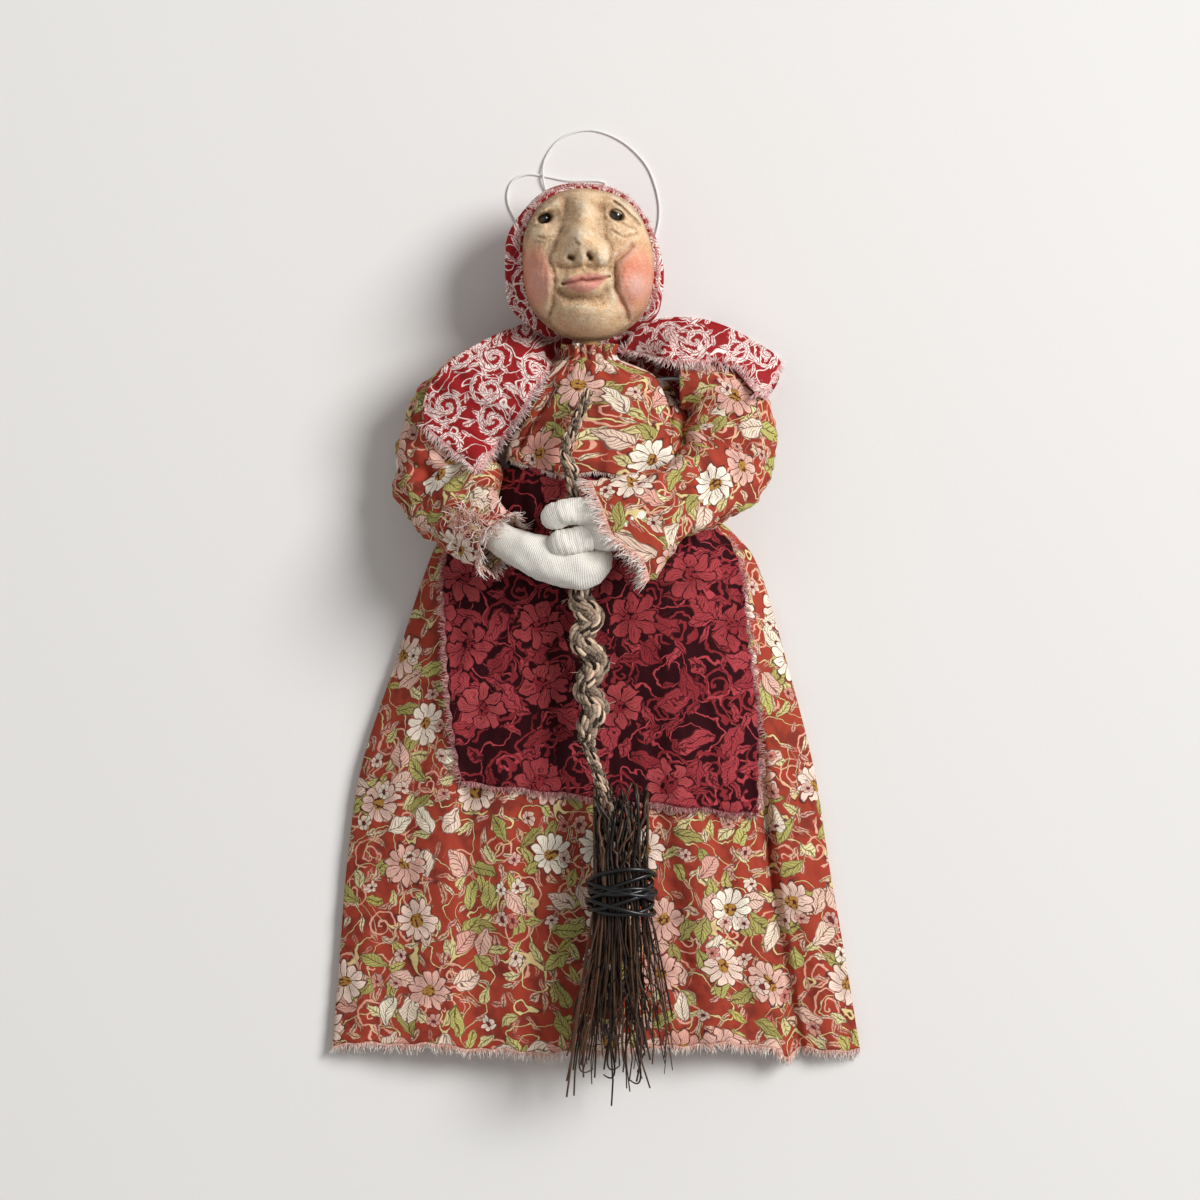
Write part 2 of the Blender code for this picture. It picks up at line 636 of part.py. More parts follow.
def make_hood():
    """A shell round the back of the head that stands off by the cheeks, open at the front."""
    form = bmesh.new()
    columns, rows = 28, 7
    rings = []
    edge = math.radians(HOOD_EDGE_DEG)
    for row in range(rows):
        tilt = edge + (math.pi - edge) * row / rows
        ring = []
        for column in range(columns):
            turn = math.tau * column / columns
            beside = (math.sin(turn) + HOOD_CHEEK_DOWN_share) / HOOD_CHEEK_TALL_share
            low_cheek = math.exp(-beside ** 2) * abs(math.cos(turn))
            open_edge = math.exp(-(row / 3) ** 2)
            stand = HOOD_PLAY + HOOD_CHEEK_STAND * low_cheek * open_edge
            ring.append(form.verts.new(apple_point(ball_direction(tilt, turn), stand)))
        rings.append(ring)
    back = form.verts.new(apple_point(-UP, HOOD_PLAY))
    for near, far in zip(rings, rings[1:]):
        for i in range(columns):
            j = (i + 1) % columns
            form.faces.new((near[i], near[j], far[j], far[i]))
    for i in range(columns):
        form.faces.new((rings[-1][i], rings[-1][(i + 1) % columns], back))
    bmesh.ops.recalc_face_normals(form, faces=form.faces)
    hood = piece("kerchief_hood", form, CRIMSON)
    wall = hood.modifiers.new("Cloth", "SOLIDIFY")
    wall.thickness = HOOD_CLOTH
    wall.offset = 1
    return hood


def arm_places(shares):
    return [(ARM_SPREAD * x, SHOULDER_Y + ARM_DROP * y, BODY_Z + ARM_RISE * z) for x, y, z in shares]


def arm_path(shares, widths):
    """Rows of an arm from its places and its half widths and depths, as far as these go."""
    return smooth_rows([(*place, wide, deep) for place, (wide, deep) in zip(arm_places(shares), widths)], 2)


def even_widths(count, wide, deep):
    return [(wide, deep)] * count


def make_wire():
    """One wire from the left hand, up the arm, straight through the shoulders and down to the right hand."""
    left = smooth_rows(arm_places(ARM_LEFT_shares[:-2]), 2)
    right = smooth_rows(arm_places(ARM_RIGHT_shares[:-1]), 2)
    route = list(left)[::-1] + list(right)
    return tube("arm_wire", route, WIRE_DIAMETER, WIRE_STEEL, 2)


def make_hand(name, shares, side):
    """A cotton wrap round the arm wire that widens into a round mitt."""
    wrap, hand = WRAP_DIAMETER / 2, HAND_WIDTH / 2
    widths = even_widths(len(shares) - len(MITT_shares), wrap, wrap)
    widths += [(hand * wide, hand * deep) for wide, deep in MITT_shares]
    obj = piece(name, limb(rounded(arm_path(shares, widths), HAND_TIP_shares), 10), COTTON)
    cut_with(obj, [armhole_block(side)])
    return obj


def armhole_block(side):
    """A block that ends just outside the armhole, where what turns at the shoulder starts flat."""
    near, far = sorted((0.0, side * (ARMHOLE_SPAN / 2 + GAP)))
    half = ARMHOLE_SPAN / 2
    return block((near, SHOULDER_Y - half, BODY_Z - half), (far, SHOULDER_Y + half, BODY_Z + half))


def add_lobe(hand, shares, width):
    """Join a thumb or a finger to a mitt."""
    widths = even_widths(len(shares), width / 2, width / 2)
    path = rounded(arm_path(shares, widths), LOBE_TIP_shares)
    form = limb(path, 10)
    mesh = bpy.data.meshes.new("lobe")
    form.to_mesh(mesh)
    form.free()
    cut_with(hand, [mesh], "UNION")


def make_sleeve(name, shares, side, cuff_points, cuff_width):
    """A loose sleeve from the armhole round the elbow to its cuff."""
    wide, deep = SLEEVE_WIDTH / 2, SLEEVE_DEPTH / 2
    rows = SLEEVE_shares + (FOREARM_shares,) * (cuff_points - len(SLEEVE_shares))
    widths = [(wide * across, deep * up) for across, up in rows]
    widths.append((cuff_width / 2, deep * CUFF_DEPTH_share))
    obj = piece(name, limb(arm_path(shares, widths), 12), PRINT)
    cut_with(obj, [armhole_block(side)])
    return obj


def skirt_height(across, top, low_share):
    """Height of the skirt's top cloth at a place across it, from -1 to 1."""
    dome = max(0.0, 1 - abs(across) ** 2.4) ** 0.75
    height = SKIRT_EDGE + (top - SKIRT_EDGE) * dome
    for middle, wide, rise in SKIRT_FOLDS_shares:
        height += SKIRT_FOLD * rise * low_share * math.exp(-((across - middle) / wide) ** 2) * dome
    past = (across - SKIRT_PLEAT_PLACE_share) / SKIRT_PLEAT_SOFT_share
    drop = 1 / (1 + math.exp(-past))
    height -= SKIRT_PLEAT * low_share * drop * dome
    return height


def hem_wave(across):
    return SKIRT_HEM_WAVE / 2 * math.cos(SKIRT_HEM_TURN * across + SKIRT_HEM_START)


def make_skirt():
    """A full skirt lying flat on its back, domed over the hips, with its main folds and one side pleat."""
    rows = smooth_rows(SKIRT_ROWS_shares, SKIRT_STEPS)
    rings = []
    for down, left, right, tall in rows:
        y = SKIRT_TOP_Y - SKIRT_LENGTH * down
        low_share = min(1.0, down / SKIRT_FOLDS_FULL_share)
        lift = SKIRT_WAIST_LIFT * max(0.0, 1 - down / SKIRT_WAIST_share)
        middle, half = (right - left) * SKIRT_REACH / 2, (right + left) * SKIRT_REACH / 2
        near_hem = max(0.0, 1 - (1 - down) / SKIRT_HEM_share)
        ring = []
        for i in range(SKIRT_COLUMNS + 1):
            across = -1 + 2 * i / SKIRT_COLUMNS
            across = math.copysign(abs(across) ** 0.85, across)
            wave = hem_wave(across) * near_hem
            height = max(skirt_height(across, tall * SKIRT_HEIGHT, low_share), lift + SKIRT_EDGE)
            ring.append(Vector((middle + across * half, y - wave, height)))
        for i in range(SKIRT_UNDER_COLUMNS + 1):
            across = SKIRT_UNDER_share * (1 - 2 * i / SKIRT_UNDER_COLUMNS)
            wave = hem_wave(across) * near_hem
            ring.append(Vector((middle + across * half, y - wave, lift)))
        rings.append(ring)
    return piece("skirt", loft(rings), PRINT)


def under_cloth(obstacles):
    """The pieces that a cloth lies on, as one tree for rays."""
    form = bmesh.new()
    for obj in obstacles:
        form.from_mesh(finished_mesh(obj))
    tree = BVHTree.FromBMesh(form)
    form.free()
    return tree


def drape(name, grid, obstacles, cloth, surface, rounds):
    """A cloth over a grid of places, taut from high point to high point of what it lies on."""
    tree = under_cloth(obstacles)
    above = HEAD_Z + HEAD_FRONT * 3
    rest = np.zeros(grid.shape[:2])
    padded = np.pad(grid, ((1, 1), (1, 1), (0, 0)), mode="edge")
    for row, column in np.ndindex(rest.shape):
        here = grid[row, column]
        around = [here] + [here + (padded[row + 1 + r, column + 1 + c] - here) * DRAPE_SPREAD_share
                           for r in (-1, 0, 1) for c in (-1, 0, 1)]
        hits = [tree.ray_cast(Vector((x, y, above)), -UP)[0] for x, y in around]
        rest[row, column] = max(hit.z if hit else 0 for hit in hits) + DRAPE_LIFT
    heights = rest.copy()
    for _ in range(rounds):
        around = heights.copy()
        beside = heights[1:-1, :-2] + heights[1:-1, 2:]
        around[1:-1, 1:-1] = (heights[:-2, 1:-1] + heights[2:, 1:-1] + beside) / 4
        around[0, 1:-1] = (heights[0, :-2] + heights[0, 2:]) / 2
        around[-1, 1:-1] = (heights[-1, :-2] + heights[-1, 2:]) / 2
        around[1:-1, 0] = (heights[:-2, 0] + heights[2:, 0]) / 2
        around[1:-1, -1] = (heights[:-2, -1] + heights[2:, -1]) / 2
        heights = np.maximum(rest, around)
    form = bmesh.new()
    verts = [[form.verts.new((*place, height)) for place, height in zip(*row)] for row in zip(grid, heights)]
    for above, below in zip(verts, verts[1:]):
        for i in range(len(above) - 1):
            form.faces.new((above[i], above[i + 1], below[i + 1], below[i]))
    form.normal_update()
    if sum(face.normal.z for face in form.faces) < 0:
        bmesh.ops.reverse_faces(form, faces=form.faces)
    obj = piece(name, form, surface)
    wall = obj.modifiers.new("Cloth", "SOLIDIFY")
    wall.thickness = cloth
    wall.offset = 1
    return obj


def make_apron(skirt, torso):
    """A frayed panel laid over the front of the skirt."""
    rows = smooth_rows(APRON_ROWS_shares, APRON_STEPS)
    grid = np.zeros((len(rows), APRON_COLUMNS + 1, 2))
    for r, (down, left, right) in enumerate(rows):
        for c in range(APRON_COLUMNS + 1):
            share = c / APRON_COLUMNS
            x = APRON_REACH * (-left + (left + right) * share)
            y = APRON_TOP_Y - APRON_LENGTH * down - APRON_HEM_SLOPE * down * (share - APRON_LEVEL_share)
            grid[r, c] = (x, y)
    return drape("apron", grid, [skirt, torso], APRON_CLOTH, MAROON, 2)


def shawl_places(shares):
    return [(x * SHAWL_REACH, SHAWL_TOP_Y + y * SHAWL_DROP) for x, y in shares]


def make_wing(name, edges, obstacles):
    """One wing of the shawl, from the neck over the upper arm."""
    outer, front = (smooth_rows(shawl_places(edge), WING_STEPS) for edge in edges)
    grid = np.zeros((WING_ROWS, len(outer), 2))
    for r in range(WING_ROWS):
        share = r / (WING_ROWS - 1)
        grid[r] = outer * (1 - share) + front * share
    return drape(name, grid, obstacles, SHAWL_CLOTH, CRIMSON, WING_ROUNDS)


def make_shawl_back():
    """The part of the kerchief that the shoulders lie on, flat on the surface."""
    curve = bpy.data.curves.new("shawl_back", "CURVE")
    curve.dimensions = "2D"
    curve.fill_mode = "BOTH"
    curve.extrude = SHAWL_BACK_CLOTH / 2
    line = curve.splines.new("POLY")
    outline = shawl_places(SHAWL_BACK_OUTLINE_shares)
    line.points.add(len(outline) - 1)
    for point, (x, y) in zip(line.points, outline):
        point.co = (x, y, 0, 1)
    line.use_cyclic_u = True
    guide = bpy.data.objects.new("shawl_back", curve)
    guide.location.z = SHAWL_BACK_CLOTH / 2
    DOLL.objects.link(guide)
    bpy.context.view_layer.update()
    mesh = finished_mesh(guide)
    bpy.data.objects.remove(guide, do_unlink=True)
    form = bmesh.new()
    form.from_mesh(mesh)
    bmesh.ops.remove_doubles(form, verts=form.verts, dist=MERGE)
    bmesh.ops.recalc_face_normals(form, faces=form.faces)
    return piece("shawl_back", form, CRIMSON, smooth=False)


def handle_rows():
    places = [(x * HANDLE_SWAY, HANDLE_TOP_Y - down * HANDLE_LENGTH, z * HANDLE_HEIGHT, thick)
              for x, down, z, thick in HANDLE_ROUTE_shares]
    return smooth_rows(places, HANDLE_STEPS)


def twig_places(pitch, half_width, half_depth):
    """Places on a close grid inside an oval."""
    places = []
    lift = pitch * math.sqrt(3) / 2
    for row in range(-int(half_depth / lift), int(half_depth / lift) + 1):
        for column in range(-int(half_width / pitch) - 1, int(half_width / pitch) + 2):
            x, z = (column + row % 2 / 2) * pitch, row * lift
            if (x / half_width) ** 2 + (z / half_depth) ** 2 < 1:
                places.append((x, z))
    return places


def add_twig(form, low, high):
    """A three-sided twig from low to high, a little thinner at its far end."""
    rings = []
    for place, share in ((low, 1), (high, 0.7)):
        ring = [form.verts.new(point) for point in
                oval_ring(place, ACROSS, UP, TWIG_DIAMETER / 2 * share, TWIG_DIAMETER / 2 * share, 3)]
        rings.append(ring)
    for i in range(3):
        j = (i + 1) % 3
        form.faces.new((rings[0][i], rings[0][j], rings[1][j], rings[1][i]))
    form.faces.new(rings[0])
    form.faces.new(rings[1])


def make_bristles(handle_end):
    """Twigs that fan out below a bound bundle, with the short cut ends that stand above it."""
    middle_z = handle_end[2]
    half_width, half_depth = BUNDLE_WIDTH / 2, BUNDLE_DEPTH / 2
    low_y = BUNDLE_TOP_Y - BUNDLE_LENGTH
    rings = [oval_ring(Vector((BUNDLE_X, y, middle_z)), ACROSS, UP, half_width, half_depth, BUNDLE_SEGMENTS)
             for y in (BUNDLE_TOP_Y, low_y)]
    bundle = piece("bristles", loft(rings), TWIG, smooth=False)
    chance = random.Random(TWIG_SEED)
    form = bmesh.new()
    inset = TWIG_DIAMETER
    for x, z in twig_places(TWIG_PITCH, half_width - inset, half_depth - inset):
        share = TWIG_SHORTEST_share + (1 - TWIG_SHORTEST_share) * chance.random()
        start = Vector((BUNDLE_X + x, low_y + TWIG_ROOT, middle_z + z))
        tip_z = middle_z + z * TWIG_RISE_share - TWIG_DROOP
        tip = Vector((BUNDLE_X + x * TWIG_SPREAD_share, low_y - TWIG_LENGTH, tip_z))
        add_twig(form, start, start.lerp(tip, share))
    for x, z in twig_places(STUB_PITCH, half_width - inset, half_depth - inset):
        share = STUB_SHORTEST_share + (1 - STUB_SHORTEST_share) * chance.random()
        start = Vector((BUNDLE_X + x, BUNDLE_TOP_Y - TWIG_ROOT, middle_z + z))
        tip_z = middle_z + z * STUB_SPREAD_share
        tip = Vector((BUNDLE_X + x * STUB_SPREAD_share, BUNDLE_TOP_Y + STUB_LENGTH, tip_z))
        near = math.hypot(start.x - handle_end[0], z)
        if near > HANDLE_DIAMETER:
            add_twig(form, start, start.lerp(tip, share))
    bmesh.ops.recalc_face_normals(form, faces=form.faces)
    mesh = bpy.data.meshes.new("twigs")
    form.to_mesh(mesh)
    form.free()
    cut_with(bundle, [mesh], "UNION")
    return bundle


def make_binding(middle_z):
    """One covered wire wound six times round the twigs, side by side."""
    half_width = BUNDLE_WIDTH / 2 + GAP + BINDING_DIAMETER / 2
    half_depth = BUNDLE_DEPTH / 2 + GAP + BINDING_DIAMETER / 2
    start = BUNDLE_TOP_Y - (BUNDLE_LENGTH - BINDING_PITCH * BINDING_TURNS) / 2
    route = []
    for i in range(BINDING_TURNS * BINDING_POINTS + 1):
        turn = math.tau * i / BINDING_POINTS
        route.append((BUNDLE_X + half_width * math.cos(turn), start - BINDING_PITCH * i / BINDING_POINTS,
                      middle_z + half_depth * math.sin(turn)))
    points = np.array(route)
    half_turn = BINDING_POINTS // 2
    least = min(np.linalg.norm(points[i + half_turn:] - point, axis=1).min()
                for i, point in enumerate(points[:-half_turn]))
    print("least gap between turns of the binding wire, mm:", round((least - BINDING_DIAMETER) / MM, 2))
    return tube("binding_wire", route, BINDING_DIAMETER, BLACK_WIRE, 1)


def make_thread():
    route, length = even_points([(x * MM, y * MM, z * MM) for x, y, z in THREAD_ROUTE], THREAD_POINTS)
    print("length of the hanging thread, mm:", round(length / MM, 1))
    return tube("hanging_thread", route, THREAD_DIAMETER, THREAD, 2)


def clear_of_swing(handle, centre, *targets):
    """Cut the hands and cuffs back from the handle through the whole of its swing."""
    for target in targets:
        meshes = []
        for degrees in np.linspace(-BROOM_SWING_DEG, BROOM_SWING_DEG, 3):
            mesh = finished_mesh(handle)
            turn = Matrix.Rotation(math.radians(degrees), 4, "Z")
            mesh.transform(Matrix.Translation(centre) @ turn @ Matrix.Translation(-centre))
            grown(mesh, GAP)
            meshes.append(mesh)
        cut_with(target, meshes)


def main():
    torso, peg, collar, bodice = make_torso(), make_peg(), make_collar(), make_bodice()
    head, hood, eyes = make_head(), make_hood(), make_eyes()
    clear_of(head, peg, *eyes)
    clear_of(hood, peg)

    wire = make_wire()
    left = make_hand("hand_left", ARM_LEFT_shares, -1)
    right = make_hand("hand_right", ARM_RIGHT_shares, 1)
    add_lobe(right, THUMB_shares, THUMB_WIDTH)
    add_lobe(right, FINGER_shares, THUMB_WIDTH)
    sleeve_left = make_sleeve("sleeve_left", ARM_LEFT_shares, -1, LEFT_CUFF_POINTS, SLEEVE_WIDTH)
    sleeve_right = make_sleeve("sleeve_right", ARM_RIGHT_shares, 1, RIGHT_CUFF_POINTS, RIGHT_CUFF_WIDTH)
    clear_of(left, right)
    clear_of(sleeve_left, left)
    clear_of(sleeve_right, right, left)

    rows = handle_rows()
    handle = tube("broom_handle", rows, HANDLE_DIAMETER, TWINE, 2)
    grip = Vector((GRIP_X, GRIP_Y, BODY_Z + ARM_RISE))
    clear_of_swing(handle, grip, left, right, sleeve_right)
    clear_of(left, wire)
    clear_of(right, wire)

    skirt = make_skirt()
    apron = make_apron(skirt, torso)
    clear_of(skirt, torso)
    clear_of(bodice, torso, peg, wire)
    clear_of(bodice, skirt, clearance=2 * GAP)
    clear_of(bodice, apron, clearance=2 * GAP)
    clear_of(apron, torso, sleeve_left)
    clear_of(collar, torso, peg)
    clear_of(torso, peg, wire)

    shawl_back = make_shawl_back()
    under = (sleeve_left, sleeve_right, bodice, collar, shawl_back)
    wing_left = make_wing("shawl_left", WING_LEFT_EDGES_shares, under)
    wing_right = make_wing("shawl_right", WING_RIGHT_EDGES_shares, under)
    clear_of(wing_left, sleeve_left, bodice, clearance=2 * GAP)
    clear_of(wing_right, sleeve_right, bodice, clearance=2 * GAP)

    bristles = make_bristles(rows[-1])
    clear_of(bristles, handle, skirt, apron)
    binding = make_binding(rows[-1][2])
    make_thread()

    neck = pivot("neck_axis", (HEAD_X, HEAD_Y, HEAD_Z))
    hang_on(neck, neck.location, head, hood, *eyes)
    shoulders = pivot("shoulder_axis", (0, SHOULDER_Y, BODY_Z))
    hang_on(shoulders, shoulders.location, wire, left, right, sleeve_left, sleeve_right)
    clasp = pivot("grip_axis", grip, shoulders)
    hang_on(clasp, grip, handle, bristles, binding)


DOLL, CUTTERS = start_empty()
APPLE = finish("dried apple", (0.69, 0.53, 0.31), 0.55)
BEAD = finish("glass bead", (0.01, 0.01, 0.012), 0.08)
CRIMSON = finish("crimson cotton", (0.34, 0.015, 0.025), 0.85)
PRINT = finish("printed cotton", (0.38, 0.04, 0.025), 0.85)
MAROON = finish("maroon twill", (0.16, 0.012, 0.025), 0.85)
COTTON = finish("white cotton", (0.76, 0.73, 0.66), 0.9)
PEG_WOOD = finish("peg wood", (0.45, 0.3, 0.16), 0.6)
WIRE_STEEL = finish("arm wire", (0.45, 0.45, 0.46), 0.4, 1.0)
BLACK_WIRE = finish("covered black wire", (0.006, 0.006, 0.007), 0.35)
TWIG = finish("dark twigs", (0.016, 0.009, 0.007), 0.6)
TWINE = finish("twisted twine", (0.35, 0.27, 0.2), 0.85)
THREAD = finish("white thread", (0.8, 0.8, 0.78), 0.7)

main()
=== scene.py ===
"""The looks of an apple head doll with a twig broom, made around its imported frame.

Lengths are in metres in the frame's place: +Z comes out of the doll's front and +Y runs up to its head. Left and
right are those of someone who looks at its front.
"""

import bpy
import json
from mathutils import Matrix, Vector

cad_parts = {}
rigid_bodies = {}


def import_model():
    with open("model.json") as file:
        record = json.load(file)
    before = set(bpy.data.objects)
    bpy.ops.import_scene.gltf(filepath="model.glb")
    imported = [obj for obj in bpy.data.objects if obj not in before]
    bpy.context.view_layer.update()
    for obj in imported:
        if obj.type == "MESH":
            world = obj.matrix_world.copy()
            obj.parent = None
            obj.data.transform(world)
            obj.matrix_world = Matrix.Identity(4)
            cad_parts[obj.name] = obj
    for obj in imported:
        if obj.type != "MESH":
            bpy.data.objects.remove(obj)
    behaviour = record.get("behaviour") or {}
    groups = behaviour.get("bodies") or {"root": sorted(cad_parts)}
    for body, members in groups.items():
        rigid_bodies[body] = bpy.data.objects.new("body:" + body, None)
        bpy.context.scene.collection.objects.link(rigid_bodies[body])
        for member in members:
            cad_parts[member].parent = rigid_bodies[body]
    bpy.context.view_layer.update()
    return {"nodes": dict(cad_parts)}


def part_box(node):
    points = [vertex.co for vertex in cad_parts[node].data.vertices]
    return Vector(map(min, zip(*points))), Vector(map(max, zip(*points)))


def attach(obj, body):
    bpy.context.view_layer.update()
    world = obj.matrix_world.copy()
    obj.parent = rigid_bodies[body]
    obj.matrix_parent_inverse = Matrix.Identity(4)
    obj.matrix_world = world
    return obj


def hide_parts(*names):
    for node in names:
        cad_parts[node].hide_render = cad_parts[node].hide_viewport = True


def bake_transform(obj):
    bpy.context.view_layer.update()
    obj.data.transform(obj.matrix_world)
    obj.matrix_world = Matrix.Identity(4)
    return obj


bl_info = {
    "name": "Apple head doll",
    "version": (1, 0, 0),
    "blender": (4, 5, 0),
    "location": "View3D > Sidebar > Doll",
    "description": "Builds an apple head doll in its clothes, with its broom, on a plain stage",
    "category": "Add Mesh",
}

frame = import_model()

import json
import math

import bmesh
import bpy
import numpy as np
from mathutils import Vector
from mathutils.bvhtree import BVHTree

MM = 0.001
NODES = frame["nodes"]
CLOTH_MAP = "Cloth"
# Steps between the rows of a table, and how high the rays start that feel for what lies under a cloth
CURVE_STEPS = 12
RAY_START = 0.3

# The frame's own sizes that the clothes are cut to, in metres
BODY_Z = 0.0219
SHOULDER_Y = 0.095
HEAD_CENTRE = np.array((-2.5, 136.0, 27.7)) * MM
HEAD_HALF = np.array((23.6, 27.6)) * MM
HEAD_FRONT = 25 * MM
HEAD_BACK = 24 * MM
ARM_REACH = np.array((58.0, 68.0, 27.5)) * MM

# The thread's route in mm, from the shawl behind the neck, round both loops and back
THREAD_ROUTE = (
    (-7.0, 107.7, 1.3), (-9.6, 112.0, 0.7), (-16.0, 122.0, 0.45), (-22.0, 134.0, 0.45),
    (-27.5, 150.0, 0.45), (-32.0, 160.0, 0.45), (-30.8, 167.2, 0.45), (-25.2, 170.2, 0.45),
    (-19.0, 169.6, 0.45), (-9.8, 167.9, 0.45), (-1.0, 167.9, 0.45), (3.4, 167.0, 0.45),
    (2.2, 163.0, 0.45), (-5.0, 160.4, 0.45), (-13.0, 160.2, 0.45), (-17.6, 163.4, 0.6),
    (-19.2, 169.4, 1.5), (-18.6, 175.4, 0.6), (-14.8, 181.4, 0.45), (-9.7, 184.8, 0.45),
    (-2.7, 186.3, 0.45), (4.2, 184.8, 0.45), (11.5, 180.7, 0.45), (18.0, 173.9, 0.45),
    (21.4, 166.3, 0.45), (23.0, 157.7, 0.45), (21.8, 148.8, 0.45), (17.0, 136.0, 0.45),
    (12.0, 124.0, 0.45), (7.6, 113.0, 0.7), (6.0, 107.8, 1.3),
)

# Swells of the carved face in mm from the head's middle: across, up, half width, half height, turn and lift
FACE_SWELLS = (
    (-2.7, 23.3, 6.2, 4.5, 0, 1.6), (-13.5, 21.5, 5.0, 2.5, -20, 1.6), (13.8, 20.4, 7.9, 2.5, 35, 2.2),
    (-1.5, 19.2, 4.6, 4.5, 0, 1.2), (-1.3, 14.4, 4.2, 7.8, 4, 3.4), (-1.6, 7.0, 6.2, 5.6, 0, 6.0),
    (4.9, 2.4, 3.4, 3.7, 15, 2.6), (-9.2, 2.4, 4.0, 3.4, -25, 2.8), (-6.2, 8.0, 4.2, 6.2, -32, 2.4),
    (5.1, 1.0, 2.9, 3.7, 0, 1.6), (-2.7, 1.0, 1.7, 2.9, 0, 1.5), (-16.8, 9.7, 5.4, 4.1, 0, 1.6),
    (13.0, 10.3, 6.2, 4.5, 0, 2.0), (-15.9, 18.3, 3.1, 1.0, 0, 1.0), (10.5, 19.6, 3.7, 1.2, -30, 1.0),
    (-18.2, -4.4, 5.6, 11.2, 0, 3.8), (17.1, -4.8, 7.0, 11.2, 0, 4.6), (-1.5, -6.8, 10.7, 7.0, 0, 2.4),
    (-5.0, -5.4, 3.6, 1.7, -6, 0.8), (2.9, -4.7, 3.7, 1.7, 4, 0.8), (-1.1, -9.4, 6.0, 2.2, 6, 1.3),
    (-0.6, -16.6, 11.0, 2.6, 0, 1.0), (-0.6, -20.0, 12.0, 6.0, 0, 4.2), (-16.8, -16.8, 3.3, 4.5, 20, 0.8),
    (9.3, -11.8, 1.7, 6.2, 28, 1.0), (-13.5, -7.7, 1.8, 6.4, 8, 0.7),
)
# Cuts of the knife in mm: the points of each, its half width and its depth
FACE_CREASES = (
    (((-18.0, 9.6), (-15.5, 8.6), (-12.6, 9.0)), 0.5, -0.6), (((8.0, 11.6), (12.0, 9.4), (17.5, 10.4)), 0.5, -0.6),
    (((15.1, 6.0), (9.7, 0.2), (8.7, -4.4), (9.7, -8.9), (12.2, -14.7), (14.0, -19.7)), 1.0, -1.7),
    (((5.0, 9.7), (7.4, 5.6), (8.4, 1.2), (7.4, -3.0)), 0.9, -1.1),
    (((-9.2, 12.4), (-11.8, 7.6), (-13.9, 1.8), (-12.9, -2.3), (-12.6, -6.8)), 0.9, -1.0),
    (((-12.6, -6.8), (-12.2, -10.8), (-13.0, -14.8), (-14.2, -18.6), (-13.9, -21.1)), 0.9, -0.9),
    (((-8.2, 22.9), (-8.9, 18.8), (-9.6, 14.2), (-9.6, 11.2)), 2.3, -2.4),
    (((4.6, 21.0), (5.0, 17.2), (4.9, 13.8), (5.8, 11.0)), 1.9, -1.7),
    (((9.3, 22.0), (11.8, 20.4), (14.6, 17.1), (18.2, 14.0)), 0.6, -1.3),
    (((-22.6, 13.0), (-18.8, 16.3), (-16.4, 19.0), (-13.0, 18.4)), 0.5, -0.8),
    (((-22.6, 12.2), (-18.0, 14.0), (-13.9, 14.7)), 0.5, -0.5),
    (((7.2, 15.3), (12.2, 14.4), (17.1, 12.2)), 0.5, -0.5),
    (((-9.4, -7.5), (-5.6, -7.2), (-3.0, -6.6), (-1.5, -6.9), (1.0, -6.3), (6.9, -5.4)), 0.45, -1.7),
    (((-2.5, -1.9), (-2.1, -3.9)), 1.0, -0.5),
    (((-10.6, -1.7), (-7.3, -1.9), (-3.5, -2.0)), 1.0, -0.8),
    (((-0.6, -1.9), (3.1, -2.1), (6.4, -1.9)), 1.0, -0.8),
    (((-10.2, -10.6), (-6.4, -12.6), (-0.6, -13.4), (4.3, -12.2), (6.2, -10.4)), 1.4, -1.4),
    (((-8.9, -14.7), (-0.6, -15.1), (5.1, -14.5)), 0.3, -0.4),
    (((-5.2, 7.9), (-4.8, 6.4), (-4.0, 5.6)), 0.4, -0.5),
    (((-19.5, 8.0), (-16.2, 7.0), (-13.6, 7.6)), 0.5, -0.4),
    (((-6.5, 2.0), (-5.3, 1.5)), 0.75, -3.4),
    (((0.0, 2.5), (1.0, 1.6)), 0.8, -3.4),
    (((-8.9, -7.0), (-9.5, -7.5)), 0.7, -0.7),
)
# Ovals of brown stain and painted shade on the face, and after them ovals of painted highlight on the cheeks and chin:
# share, across, up, half width and half height in mm
FACE_STAIN_AND_SHADE = (
    (0.75, -10.5, 12.5, 3.2, 6.0), (0.75, 5.4, 13.0, 2.6, 4.0), (0.34, -2.0, -12.8, 9.0, 1.8),
    (0.22, -12.5, -11.0, 2.2, 9.0), (0.7, -8.0, -2.0, 5.0, 2.0), (0.6, 10.5, 3.0, 2.0, 6.0),
)
FACE_PAINTED_HIGHLIGHTS = ((0.95, 17.0, -8.0, 4.6, 5.0), (0.6, -17.5, -6.5, 4.4, 9.0), (0.45, -0.6, -19.0, 9.0, 3.6))
# How closely the mesh crowds to the face, how far round a place its hollows are sought in mm, and the mesh's limit
FACE_CROWDING = 1.35
HOLLOW_REACH = 1.1
MOST_TRIANGLES = 190000
# Each eye's lean in degrees, and how far over the bead's middle its upper lid comes down, in mm
EYE_LIDS = {"eye_left": (22, 1.5), "eye_right": (-24, 1.0)}

